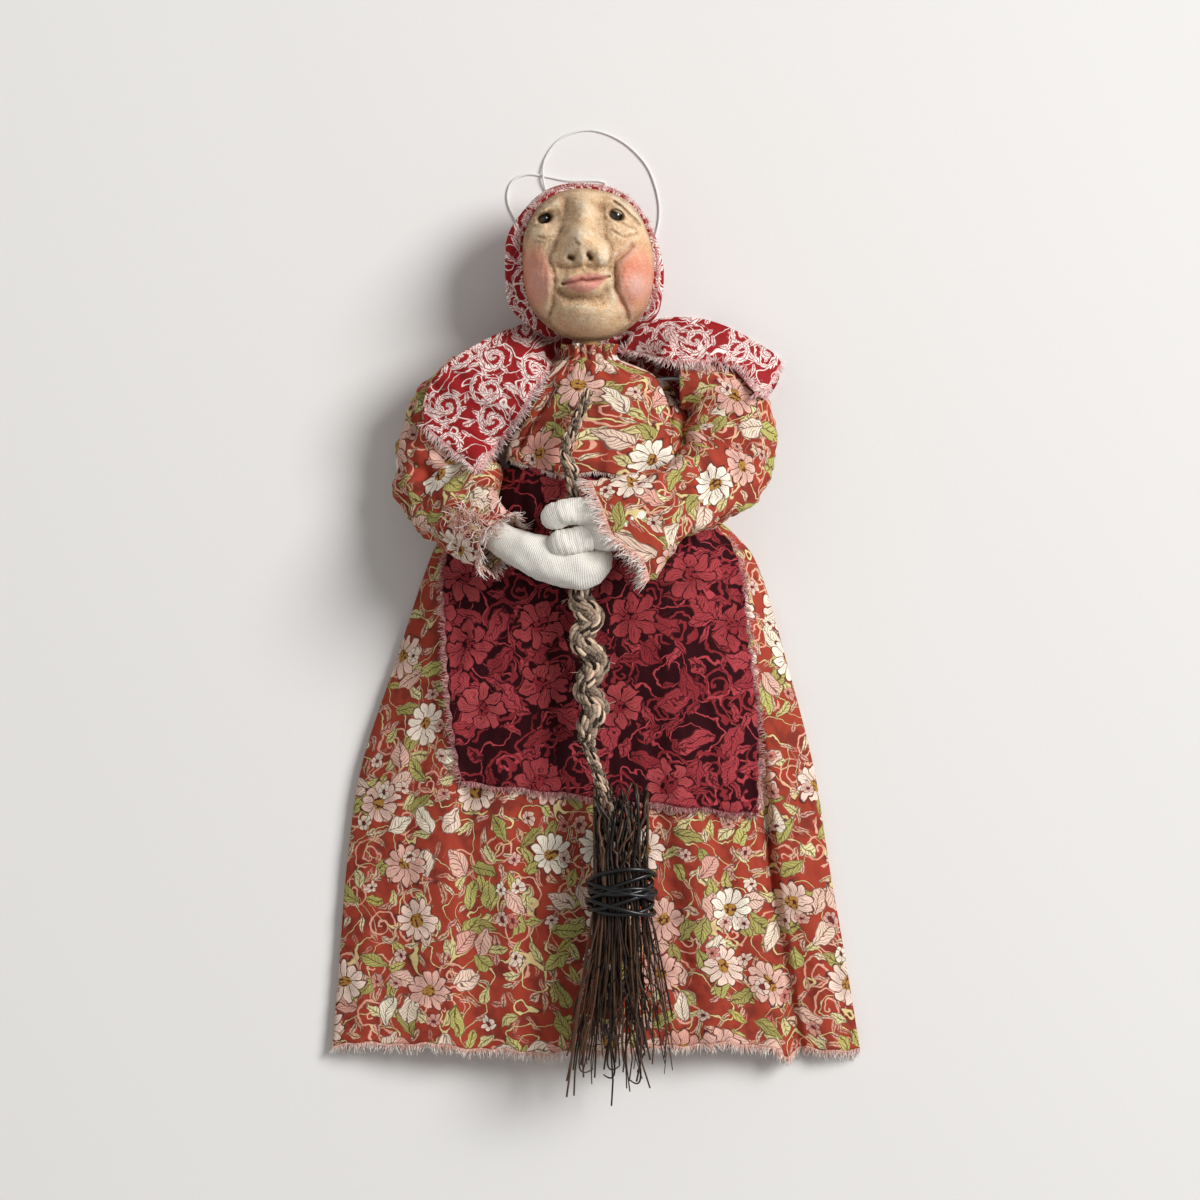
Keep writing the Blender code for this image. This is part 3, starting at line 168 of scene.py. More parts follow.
# Places along each arm, sideways, down and forward, in shares of its reach, as in the frame
ARM_LEFT = (
    (-0.30, 0.00, 0.00), (-0.66, 0.00, 0.00), (-0.86, -0.12, -0.08), (-0.97, -0.34, -0.20),
    (-0.96, -0.57, -0.12), (-0.80, -0.74, 0.42), (-0.60, -0.84, 0.82), (-0.40, -0.92, 0.98),
    (-0.20, -0.975, 1.02), (-0.03, -0.98, 1.02), (0.09, -0.90, 1.00),
)
ARM_RIGHT = (
    (0.30, 0.00, 0.00), (0.64, 0.00, 0.00), (0.80, -0.11, -0.02), (0.86, -0.28, 0.02),
    (0.82, -0.46, 0.16), (0.66, -0.58, 0.62), (0.46, -0.66, 0.95), (0.26, -0.73, 1.12),
    (0.07, -0.79, 1.16), (-0.12, -0.83, 1.14),
)
# Half width and half depth of a sleeve in mm, and their shares at each place from the shoulder to the cuff, which is
# 24.5 mm wide at the left and 35 mm at the right
SLEEVE_HALF = (13.5, 10.5)
LEFT_WIDTHS = ((0.86, 1.10), (0.86, 1.10), (1.0, 1.0), (1.08, 1.0), (1.12, 1.0), (1.0, 0.95), (24.5 / 27, 0.82))
RIGHT_WIDTHS = (
    (0.80, 0.90), (0.86, 1.10), (1.0, 1.0), (1.08, 1.0), (1.12, 1.0), (1.0, 0.95), (1.0, 0.85), (1.15, 0.8),
    (35 / 27, 0.82),
)
# Each sleeve's arm, widths, start across in mm, seed, and its fullness beside the body: side, height and bulge in mm
SLEEVES = (
    ("left", ARM_LEFT, LEFT_WIDTHS, 25.0, (-1, 62, 8.0), 83),
    ("right", ARM_RIGHT, RIGHT_WIDTHS, 29.5, (1, 79, 5.5), 89),
)
THUMB = ((0.08, -0.74, 1.24), (-0.10, -0.70, 1.25), (-0.24, -0.725, 1.22), (-0.33, -0.765, 1.18))
FINGER = ((0.0, -0.83, 1.18), (-0.14, -0.855, 1.21), (-0.29, -0.89, 1.16))
# Half width and half depth at each place along a mitt, in shares of half its width, and those of thumb and finger in mm
MITT_WIDTHS = ((0.64, 0.61), (0.90, 0.80), (1.00, 0.86), (0.95, 0.85), (0.70, 0.70))
LOBE_HALF = 4.9
# Each wrapped piece, its way, where a wrapped arm starts across in mm, and the frame's solid that it stands for
HANDS = (
    ("mitt_left", ARM_LEFT, 25.0, ("hand_left",)), ("mitt_right", ARM_RIGHT, 31.0, ("hand_right",)),
    ("thumb", THUMB, None, ()), ("finger", FINGER, None, ()),
)

# Rows down the skirt: how far down, its reach to the left and right, and its height, in shares
SKIRT_ROWS = (
    (0.000, 0.42, 0.24, 1.00), (0.048, 0.49, 0.37, 0.98), (0.110, 0.585, 0.53, 0.93),
    (0.170, 0.645, 0.62, 0.87), (0.326, 0.757, 0.72, 0.72), (0.514, 0.89, 0.825, 0.58),
    (0.688, 0.945, 0.885, 0.49), (0.846, 0.972, 0.945, 0.41), (1.000, 1.00, 1.00, 0.36),
)
# The skirt's waist, length, greatest reach, height and edge in mm
SKIRT_TOP_Y, SKIRT_LENGTH, SKIRT_REACH, SKIRT_HEIGHT, SKIRT_EDGE = 62, 208, 95.6, 39, 4
# The pleat at the right: its share across, how far the cloth steps down past it and its groove's depth in mm
PLEAT_AT, PLEAT_STEP, PLEAT_GROOVE = 0.745, 5, 7
# Waves of the skirt's hem: height in mm, rate and start
HEM_WAVES = ((1.5, 5.2, 0.8 + math.pi / 2), (0.5, 23, 0), (0.3, 61, 0))
# Rings that turn the hem under: how far in, in mm, and how much narrower and flatter than the hem
HEM_TURNS = ((0.2, 0.996, 0.94), (4.0, 0.99, 0.85), (9.0, 0.98, 0.0))
# Folds across the skirt: middle, half width and height in shares
SKIRT_FOLDS = ((-0.86, 0.07, 0.5), (-0.62, 0.09, 0.7), (-0.34, 0.10, 0.4), (0.44, 0.09, 0.6), (0.93, 0.05, 0.4))
# The apron's top, length and half width in mm
APRON_TOP_Y, APRON_LENGTH, APRON_REACH = 63, 116, 57
# Rows down the apron: how far down and its reach to the left and right, in shares
APRON_ROWS = (
    (0.00, 0.70, 0.42), (0.09, 0.79, 0.60), (0.21, 0.88, 0.84), (0.32, 0.96, 0.92), (0.50, 0.95, 0.96),
    (0.75, 0.92, 1.02), (1.00, 0.85, 1.02),
)
# The stuffed body in mm: height, middle across and up, half width and half depth
BODY_ROWS = (
    (14, 0, 21.9, 11, 7.15), (23.2, 0, 21.9, 20, 13), (37, 0, 21.9, 20, 13.5), (60, 0, 21.9, 17, 14),
    (80, 0, 21.9, 22, 16.5), (95, 0, 21.9, 21, 13.5), (98.47, -1.25, 24.8, 14.25, 10.5),
    (105.4, -2.5, 27.7, 7.5, 7.5),
)
# The dress's top from hem to neck, in mm: height, reach to the left and right, depth before and behind, middle
BODICE_ROWS = np.array((
    (56, 29, 28, 20.8, 17.5, 21.9, 0), (62, 31, 31, 20.0, 17.8, 21.9, 0), (68, 32, 34.0, 18.8, 17.8, 21.9, 0),
    (75, 31, 35.0, 17.8, 17.8, 21.9, 0), (83, 28, 32.0, 17.0, 17.0, 21.9, 0), (90, 24.5, 28.0, 16.0, 15.5, 21.9, 0),
    (95, 21.5, 26.5, 14.6, 14.2, 22.2, -0.3), (98.5, 15.6, 18.0, 12.8, 12.4, 24.0, -1.4),
    (101.5, 11.0, 11.2, 11.0, 11.2, 26.0, -2.1),
))
# The bodice's hem: its height in mm at shares across the front
BODICE_HEM = ((-1, 67.7), (-0.8, 64.5), (-0.4, 60.8), (0, 61.5), (0.5, 59.5), (1, 58.5))
# The armholes: side, how deep the cloth drops past the seam, and the seam's heights and places across, in mm
ARMHOLES = (
    (-1, 1.8, ((70.0, -26.5), (76, -23.4), (82, -19.6), (88, -15.6), (94.3, -11.9))),
    (1, 8.0, ((72.0, 25.4), (79, 26.4), (84, 26.4), (92, 23.0), (100.8, 17.6))),
)
# Outer and front edges of the shawl's wings from the neck to the tip, in mm
WING_LEFT = (
    ((-15.5, 112.5), (-25.8, 115.6), (-50.9, 102.5), (-61.0, 89.9), (-61.6, 79.1)),
    ((-13.0, 104.0), (-14.4, 103.6), (-20.1, 95.1), (-29.5, 80.2), (-42.9, 62.6)),
)
WING_RIGHT = (
    ((12.5, 113.0), (24.1, 117.9), (39.5, 117.3), (53.6, 111.6), (67.0, 101.9)),
    ((9.5, 104.5), (12.0, 106.0), (28.1, 101.9), (46.9, 100.2), (59.0, 88.2)),
)
# Outline of the shawl's back, in mm
SHAWL_BACK = (
    (-61.0, 78.5), (-61.6, 89.4), (-51.6, 103.0), (-28.1, 115.0), (-13.4, 113.0), (0.0, 112.5),
    (12.1, 113.5), (24.1, 117.9), (40.2, 117.3), (53.6, 111.6), (67.0, 101.9), (60.3, 87.7),
    (40.2, 83.7), (0.0, 80.2), (-34.8, 77.4),
)
# The broom handle: sideways, down and height in mm, and its thickness as a share
HANDLE_ROUTE = (
    (-2.5, 90.5, 47.0, 0.9), (-7.2, 78.8, 47.5, 1.0), (-11.0, 68.9, 48.0, 1.0), (-8.6, 61.0, 48.0, 1.3),
    (-7.6, 51.9, 47.0, 1.1), (-6.2, 44.1, 46.1, 1.0), (-2.6, 35.5, 45.1, 1.0), (-1.6, 25.9, 43.7, 1.2),
    (-6.4, 17.5, 42.7, 2.0), (-1.2, 9.4, 41.8, 2.2), (-5.4, 2.0, 41.3, 2.0), (-0.2, -6.5, 40.3, 2.2),
    (-4.2, -15.4, 39.8, 2.0), (0.6, -22.6, 38.9, 2.2), (-3.4, -29.6, 37.9, 1.9), (-2.2, -38.0, 37.0, 1.1),
    (1.4, -48.1, 36.0, 1.1), (4.2, -62.0, 35.0, 1.3), (5.0, -84.0, 34.6, 1.2),
)
# The bound bundle's middle, its half width and half depth, and the lowest and highest twigs, in mm
BUNDLE_MIDDLE = (9.0, -78.0, 34.6)
BUNDLE_HALF = (10.5, 6.5)
TWIG_LEVELS = (22.9, 41.5)
# Hooked tips: place across and up, and how far they curl, in mm
TWIG_HOOKS = ((3.5, -152.0, 3.2), (-2.0, -150.0, -4.0), (13.0, -154.0, 3.0), (7.5, -149.0, -3.4))
# The wire's turns, and how far it stands off the bundle in mm
WIRE_TURNS = 8.7
WIRE_STAND = 1.15
# Loose threads of each raw edge: length, seed, pitch and radius in mm (or the setting's), spread and lift
FRAYS = {
    "kerchief_fray": (3.2, 21, 0.15, 0.11, 0.55, 0.25), "skirt_fray": (4.2, 41, None, None, 0.35, -0.1),
    "apron_fray": (3.4, 61, 0.19, None, 0.45, 0.0), "bodice_fray": (2.6, 75, None, None, 0.4, 0.0),
    "cuff_fray_left": (6.6, 83, 0.16, 0.14, 0.4, 0.0), "cuff_fray_right": (6.6, 89, 0.16, 0.14, 0.4, 0.0),
    "wing_fray_left": (4.4, 101, 0.17, 0.13, 0.4, 0.0), "wing_fray_right": (4.4, 103, 0.17, 0.13, 0.4, 0.0),
}

# Name, place, size and power of each lamp
LAMPS = (("window light", (2.0, 1.05, 2.1), 1.5, 99.0), ("bounce light", (-0.9, -0.2, 1.4), 1.4, 1.5))
ROOM_LIGHT = 0.52
# What the camera looks straight down at, and its sensor's width in mm
VIEW_MIDDLE = (1.44 * MM, 15.84 * MM, 20 * MM)
SENSOR = 36


def length_setting(name, description, default):
    return bpy.props.FloatProperty(name=name, description=description, default=default, unit="LENGTH")


def colour_setting(name, description, default):
    return bpy.props.StringProperty(name=name, description=f"sRGB hex value of {description}", default=default)


class DollThread(bpy.types.PropertyGroup):
    diameter: length_setting("Thread diameter", "Thickness of the hanging thread", 0.0008)
    colour: colour_setting("Thread colour", "the cotton thread", "#FAFAF8")


class DollHead(bpy.types.PropertyGroup):
    carving: bpy.props.FloatProperty(
        name="Carving depth", description="How strongly the knife's cuts show", default=1.35, min=0, max=2)
    bead: length_setting("Bead diameter", "Size of the glass beads for eyes", 0.0046)
    skin: colour_setting("Skin colour", "the dried apple", "#FFDEB4")
    blush: colour_setting("Blush colour", "the rouge on the cheeks", "#EE8666")
    lips: colour_setting("Lip colour", "the painted lips", "#EDA091")


class DollCloth(bpy.types.PropertyGroup):
    cloth: length_setting("Cloth thickness", "Thickness of the cotton cloth", 0.0004)
    thread: length_setting("Frayed thread", "Diameter of a loose thread at a raw edge", 0.00026)
    fray_pitch: length_setting("Fray pitch", "Distance between the loose threads", 0.00022)
    dress: colour_setting("Dress colour", "the dress print's ground", "#A03424")
    shawl: colour_setting("Shawl colour", "the kerchief's ground", "#951219")
    apron: colour_setting("Apron colour", "the apron's ground", "#27040A")


class DollHands(bpy.types.PropertyGroup):
    width: length_setting("Mitt width", "Width of the wrapped hand", 0.017)
    wrap: length_setting("Wrap diameter", "Thickness of the wrapped arm", 0.009)
    colour: colour_setting("Cotton colour", "the cotton gauze", "#F2EEE5")


class DollBroom(bpy.types.PropertyGroup):
    handle: length_setting("Handle diameter", "Thickness of the twisted handle", 0.0044)
    twigs: bpy.props.IntProperty(
        name="Twigs", description="How many twigs the bundle has", default=125, min=20, max=400)
    twig: length_setting("Twig diameter", "Thickness of a twig where it is bound", 0.0010)
    wire: length_setting("Wire diameter", "Thickness of the binding wire", 0.0016)


class DollStage(bpy.types.PropertyGroup):
    distance: length_setting("Camera distance", "Height of the camera over the doll", 2.6)
    view_width: length_setting("View width", "Width that the camera sees at the doll", 0.432)
    floor: colour_setting("Floor colour", "the paper under the doll", "#E9E7E5")


def colour(code):
    """An sRGB hex value as a linear colour."""
    parts = [int(code[i:i + 2], 16) / 255 for i in (1, 3, 5)]
    return (*[part / 12.92 if part <= 0.04045 else ((part + 0.055) / 1.055) ** 2.4 for part in parts], 1.0)


def add_node(tree, kind, inputs=(), **settings):
    """Add a node, with capitals for a math one, set its options and set or link its inputs."""
    math_node = kind.isupper()
    node = tree.nodes.new("ShaderNodeMath" if math_node else "ShaderNode" + kind)
    if math_node:
        node.operation = kind
    for key, value in settings.items():
        setattr(node, key, value)
    for key, value in (inputs.items() if isinstance(inputs, dict) else enumerate(inputs)):
        if isinstance(value, bpy.types.Node):
            value = next(output for output in value.outputs if output.enabled)
        if isinstance(value, bpy.types.NodeSocket):
            tree.links.new(value, node.inputs[key])
        elif value is not None:
            node.inputs[key].default_value = colour(value) if isinstance(value, str) else value
    return node


def new_material(name, shader_values):
    """A material with its shader's plain values, and a function that adds nodes to it."""
    made = bpy.data.materials.new(name)
    made.use_nodes = True
    shader = made.node_tree.nodes["Principled BSDF"]
    for key, value in shader_values.items():
        shader.inputs[key].default_value = colour(value) if isinstance(value, str) else value

    def add(kind, inputs=(), **settings):
        return add_node(made.node_tree, kind, inputs, **settings)

    def join(node, socket):
        output = node if isinstance(node, bpy.types.NodeSocket) else next(o for o in node.outputs if o.enabled)
        made.node_tree.links.new(output, shader.inputs[socket])

    return made, add, join


def noise(add, places, scale, detail, rough=0.5, swirl=0.0, flat=False):
    """A noise's level at places in space, or in the plane of a cloth."""
    values = {"Vector": places, "Scale": scale, "Detail": detail, "Roughness": rough, "Distortion": swirl}
    return add("TexNoise", values, noise_dimensions="2D" if flat else "3D").outputs["Fac"]


def attribute(add, name):
    return add("Attribute", attribute_name=name).outputs["Fac"]


def bump(add, join, height, strength, distance):
    """Raise a material's surface by a height, over a distance in mm."""
    join(add("Bump", {"Strength": strength, "Distance": distance * MM, "Height": height}), "Normal")


def ribs(add, axis, pitch):
    """A wave along an axis, with a pitch in mm."""
    return add("SINE", [add("MULTIPLY", [axis, math.tau / pitch])])


def weave_bump(add, join, places, pitch, depth, twill=0.0):
    """The over and under of woven threads at a pitch in mm, drawn as bump."""
    turn = add("Mapping", {"Vector": places, "Rotation": (0, 0, twill)})
    axes = add("SeparateXYZ", [turn])
    weave = ribs(add, axes.outputs["X"], pitch)
    if not twill:
        weave = add("MULTIPLY", [weave, ribs(add, axes.outputs["Y"], pitch)])
    slub = noise(add, places, 0.9, 3.0)
    bump(add, join, add("ADD", [add("MULTIPLY", [weave, 0.5]), add("MULTIPLY", [slub, 1.6])]), depth, 0.2)
    return weave


def motif_places(add, places, size, seed_shift, randomness=0.85):
    """Cells of a print of a size in mm: places round each cell's middle, turned at random, and its chances."""
    moved = add("VectorMath", [places, (seed_shift, seed_shift * 0.7, 0)], operation="ADD")
    cells = add("TexVoronoi", {"Vector": moved, "Scale": 1 / size, "Randomness": randomness},
                voronoi_dimensions="2D")
    local = add("VectorMath", [moved, cells.outputs["Position"]], operation="SUBTRACT")
    chances = add("SeparateColor", [cells.outputs["Color"]])
    angle = add("MULTIPLY", [chances.outputs["Red"], math.tau])
    turned = add("VectorRotate", {"Vector": local, "Angle": angle}, rotation_type="Z_AXIS")
    axes = add("SeparateXYZ", [turned])
    return axes.outputs["X"], axes.outputs["Y"], chances


def polar(add, x, y):
    """The turn round a motif's middle and the reach from it."""
    reach = add("SQRT", [add("ADD", [add("MULTIPLY", [x, x]), add("MULTIPLY", [y, y])])])
    return add("ARCTAN2", [y, x]), reach


def edge_mask(add, value, low, high):
    """A soft step from 0 to 1 as a value passes from low to high."""
    return add("MapRange", {"Value": value, "From Min": low, "From Max": high}, interpolation_type="SMOOTHSTEP")


def band(add, value, half, soft):
    """A line along the middle of a value's run from 0 to 1."""
    return edge_mask(add, add("ABSOLUTE", [add("SUBTRACT", [value, 0.5])]), half, half * soft)


def paint(add, under, over, mask):
    return add("Mix", {0: mask, 6: under, 7: over}, data_type="RGBA").outputs[2]


def print_leaves(add, under, places, size, long, wide, fill, line, share, shift):
    """Pointed leaves with a midrib and side veins, one in a share of the cells."""
    x, y, chances = motif_places(add, places, size, shift)
    side = add("ABSOLUTE", [y])
    bow = add("POWER", [add("ABSOLUTE", [add("DIVIDE", [x, long])]), 2.0])
    shape = add("ADD", [add("DIVIDE", [side, wide]), bow])
    chosen = add("LESS_THAN", [chances.outputs["Green"], share])
    inside = add("MULTIPLY", [edge_mask(add, shape, 1.0, 0.93), chosen])
    tone = paint(add, *fill, chances.outputs["Blue"])
    veins = add("FRACT", [add("MULTIPLY", [add("SUBTRACT", [x, add("MULTIPLY", [side, 1.3])]), 0.62])])
    vein = add("MULTIPLY", [edge_mask(add, veins, 0.26, 0.12), edge_mask(add, shape, 0.93, 0.6)])
    rib = edge_mask(add, side, 0.26, 0.12)
    rim = edge_mask(add, shape, 0.78, 0.9)
    dark = add("MAXIMUM", [add("MAXIMUM", [vein, rib]), rim])
    drawn = paint(add, tone, line, add("MULTIPLY", [dark, 0.85]))
    return paint(add, under, drawn, inside)


def print_flowers(add, under, places, size, radius, petals, tones, line, heart, share, shift):
    """Open flowers with lined petals and a dotted heart."""
    x, y, chances = motif_places(add, places, size, shift, 0.75)
    turn, reach = polar(add, x, y)
    lobe = add("ABSOLUTE", [add("COSINE", [add("MULTIPLY", [turn, petals / 2])])])
    rim = add("MULTIPLY", [add("ADD", [add("MULTIPLY", [add("POWER", [lobe, 0.55]), 0.42]), 0.58]), radius])
    shape = add("DIVIDE", [reach, rim])
    chosen = add("LESS_THAN", [chances.outputs["Green"], share])
    inside = add("MULTIPLY", [edge_mask(add, shape, 1.0, 0.95), chosen])
    rays = add("SINE", [add("MULTIPLY", [turn, petals * 4.0])])
    ray = add("MULTIPLY", [edge_mask(add, rays, 0.45, 0.85), edge_mask(add, shape, 0.9, 0.4)])
    gap = edge_mask(add, lobe, 0.3, 0.12)
    outline = edge_mask(add, shape, 0.86, 0.93)
    dark = add("MAXIMUM", [add("MAXIMUM", [add("MULTIPLY", [ray, 0.75]), gap]), outline])
    drawn = paint(add, paint(add, *tones, chances.outputs["Blue"]), line, dark)
    dots = add("TexVoronoi", {"Vector": places, "Scale": 0.9}, voronoi_dimensions="2D")
    middle = paint(add, heart, line, edge_mask(add, dots.outputs["Distance"], 0.45, 0.6))
    drawn = paint(add, drawn, middle, edge_mask(add, reach, radius * 0.3, radius * 0.26))
    return paint(add, under, drawn, inside)


def print_scrolls(add, under, places, size, spacing, tone, width, shift, share):
    """Curling lines that wind round the middle of each cell."""
    x, y, chances = motif_places(add, places, size, shift, 0.8)
    turn, reach = polar(add, x, y)
    wound = add("FRACT", [add("ADD", [add("DIVIDE", [reach, spacing]), add("DIVIDE", [turn, math.tau])])])
    inside = add("MULTIPLY", [edge_mask(add, reach, size * 0.5, size * 0.44),
                              add("LESS_THAN", [chances.outputs["Green"], share])])
    return paint(add, under, tone, add("MULTIPLY", [band(add, wound, width, 0.55), inside]))


def print_fronds(add, under, places, size, spacing, tone, vein_tone, shift):
    """Feathered leaves that curl round the middle of each cell, cut by a rib and fine veins."""
    x, y, _ = motif_places(add, places, size, shift, 0.75)
    turn, reach = polar(add, x, y)
    wound = add("FRACT", [add("ADD", [add("DIVIDE", [reach, spacing]), add("DIVIDE", [turn, math.tau])])])
    side = add("ABSOLUTE", [add("SUBTRACT", [wound, 0.5])])
    lobe = add("ABSOLUTE", [add("SINE", [add("ADD", [add("MULTIPLY", [turn, 5.0]), add("MULTIPLY", [side, 7.0])])])])
    span = add("MULTIPLY_ADD", [add("POWER", [lobe, 0.6]), 0.25, 0.10])
    inside = add("MULTIPLY", [edge_mask(add, add("DIVIDE", [side, span]), 1.0, 0.84),
                              edge_mask(add, reach, size * 0.54, size * 0.48)])
    vein = add("MULTIPLY", [edge_mask(add, lobe, 0.92, 0.975), edge_mask(add, side, 0.05, 0.1)])
    cut = add("MAXIMUM", [vein, edge_mask(add, side, 0.05, 0.025)])
    return paint(add, under, paint(add, tone, vein_tone, cut), inside)


def print_vines(add, under, places, size, levels, tone, width):
    """Long winding stems along the level lines of a smooth field."""
    wound = add("FRACT", [add("MULTIPLY", [noise(add, places, 1 / size, 1.0, 0.4, flat=True), levels])])
    return paint(add, under, tone, band(add, wound, width, 0.5))


def cloth_places(add, sway):
    """The cloth's own flat places in mm, swayed a little as hand-drawn lines are."""
    flat = add("UVMap", uv_map=CLOTH_MAP).outputs["UV"]
    drift = add("TexNoise", {"Vector": flat, "Scale": 0.16, "Detail": 2.0}, noise_dimensions="2D")
    centred = add("VectorMath", [drift.outputs["Color"], (0.5, 0.5, 0.5)], operation="SUBTRACT")
    moved = add("VectorMath", {0: centred, "Scale": sway}, operation="SCALE")
    return flat, add("VectorMath", [flat, moved], operation="ADD").outputs[0]


def faded(add, join, tone, flat, weave, soil):
    """Washed cloth: threads a little lighter and darker at random, a faint uneven fade, and the weave's raised threads
    painted lighter and its sunk ones darker, as painted highlight and shade.
    """
    patch = noise(add, flat, 0.06, 4.0, flat=True)
    fleck = noise(add, flat, 2.2, 1.0, flat=True)
    level = add("ADD", [add("MULTIPLY", [patch, 0.22]), add("MULTIPLY", [fleck, 0.5])])
    # The weave's over and under as painted highlight and shade
    level = add("ADD", [add("ADD", [level, add("MULTIPLY", [weave, 0.05])]), 0.66])
    shade = add("VectorMath", {0: tone, "Scale": level}, operation="SCALE").outputs[0]
    join(paint(add, shade, soil, 0.04), "Base Color")


def dress_print(name, ground):
    """Quilting cotton, block printed: matt, with flowers, leaves and stems, outlined in dark red."""
    made, add, join = new_material(name, {"Roughness": 0.88, "Specular IOR Level": 0.12})
    flat, places = cloth_places(add, 4.0)
    line = "#4A1216"
    cloud = noise(add, places, 0.12, 3.0, flat=True)
    tone = paint(add, ground, "#7E241C", edge_mask(add, cloud, 0.45, 0.7))
    tone = print_leaves(add, tone, places, 7.5, 3.9, 1.1, ("#C9695C", "#DDB290"), line, 0.7, 83.0)
    tone = print_vines(add, tone, places, 22, 7.0, line, 0.075)
    tone = print_vines(add, tone, places, 22, 7.0, "#DCC68A", 0.045)
    tone = print_scrolls(add, tone, places, 14, 3.2, "#DFA48C", 0.13, 3.0, 0.6)
    tone = print_leaves(add, tone, places, 6.6, 3.1, 1.0, ("#DC9A8C", "#E9D8B4"), line, 0.55, 57.0)
    tone = print_leaves(add, tone, places, 8.5, 4.2, 1.8, ("#B7AE58", "#E6DAA6"), line, 0.5, 17.0)
    tone = print_leaves(add, tone, places, 11.5, 6.2, 2.7, ("#BDB96A", "#9C9452"), line, 0.42, 41.0)
    tone = print_leaves(add, tone, places, 13.5, 6.0, 3.6, ("#F4E8D0", "#DDA091"), line, 0.45, 71.0)
    tone = print_flowers(add, tone, places, 23.0, 8.6, 11, ("#F8EFDD", "#DF9C8E"), line, "#A87A34", 0.62, 7.0)
    tone = print_flowers(add, tone, places, 12.0, 2.8, 6, ("#F2E8D4", "#C8776C"), line, "#6E1E26", 0.4, 29.0)
    weave = weave_bump(add, join, flat, 0.55, 0.35)
    faded(add, join, tone, flat, weave, "#C9B294")
    return made


def kerchief_print(name, ground):
    """Crimson cotton with white leaf scrolls: matt and a little fuzzy."""
    made, add, join = new_material(name, {"Roughness": 0.9, "Specular IOR Level": 0.12})
    flat, places = cloth_places(add, 3.0)
    white = "#F3E4DE"
    tone = print_vines(add, ground, places, 15, 7.0, white, 0.06)
    tone = print_leaves(add, tone, places, 4.8, 2.6, 0.95, (white, "#E8CFC8"), ground, 0.7, 33.0)
    tone = print_fronds(add, tone, places, 12.5, 3.5, white, ground, 5.0)
    tone = print_leaves(add, tone, places, 9.0, 4.4, 1.5, (white, "#EBD5CE"), ground, 0.3, 13.0)
    weave = weave_bump(add, join, flat, 0.5, 0.4)
    faded(add, join, tone, flat, weave, "#C98A84")
    return made


def apron_print(name, ground):
    """Maroon cotton twill with a tone-on-tone rose print: fine slanting ribs, matt."""
    made, add, join = new_material(name, {"Roughness": 0.86, "Specular IOR Level": 0.12})
    flat, places = cloth_places(add, 6.0)
    rose, dim, dark = "#B0434A", "#86292F", "#240408"
    tone = print_vines(add, ground, places, 24, 8.0, rose, 0.08)
    tone = print_scrolls(add, tone, places, 15.0, 3.0, dim, 0.22, 23.0, 0.9)
    tone = print_leaves(add, tone, places, 8.0, 4.2, 1.7, (dim, rose), dark, 0.7, 47.0)
    tone = print_leaves(add, tone, places, 14.0, 7.6, 3.6, (rose, dim), dark, 0.75, 11.0)
    tone = print_flowers(add, tone, places, 25.0, 9.8, 8, ("#B24A4E", "#9A383D"), dark, dim, 0.7, 3.0)
    weave = weave_bump(add, join, flat, 0.8, 0.5, math.radians(52))
    faded(add, join, tone, flat, weave, "#7A343A")
    return made


def fray_threads(name, root, tip):
    """Loose cotton threads, printed at the root and undyed at the tip."""
    made, add, join = new_material(name, {"Roughness": 0.9, "Sheen Weight": 0.3})
    odd = add("SUBTRACT", [attribute(add, "strand"), 0.5])
    level = add("ADD", [add("MULTIPLY", [attribute(add, "along"), 0.9]), add("MULTIPLY", [odd, 0.9])])
    join(paint(add, root, tip, edge_mask(add, level, 0.0, 0.9)), "Base Color")
    return made


def fibre_material(name, values, dark, light, scale, bump_depth):
    """Fibres and bark: a fine noise between a dark and a light tone, with each strand a little different."""
    made, add, join = new_material(name, values)
    grain = noise(add, add("TexCoord").outputs["Object"], scale, 5.0, 0.65)
    level = add("ADD", [add("MULTIPLY", [grain, 0.75]), add("MULTIPLY", [attribute(add, "strand"), 0.8])])
    join(paint(add, dark, light, edge_mask(add, level, 0.4, 1.15)), "Base Color")
    bump(add, join, grain, bump_depth, 0.15)
    return made


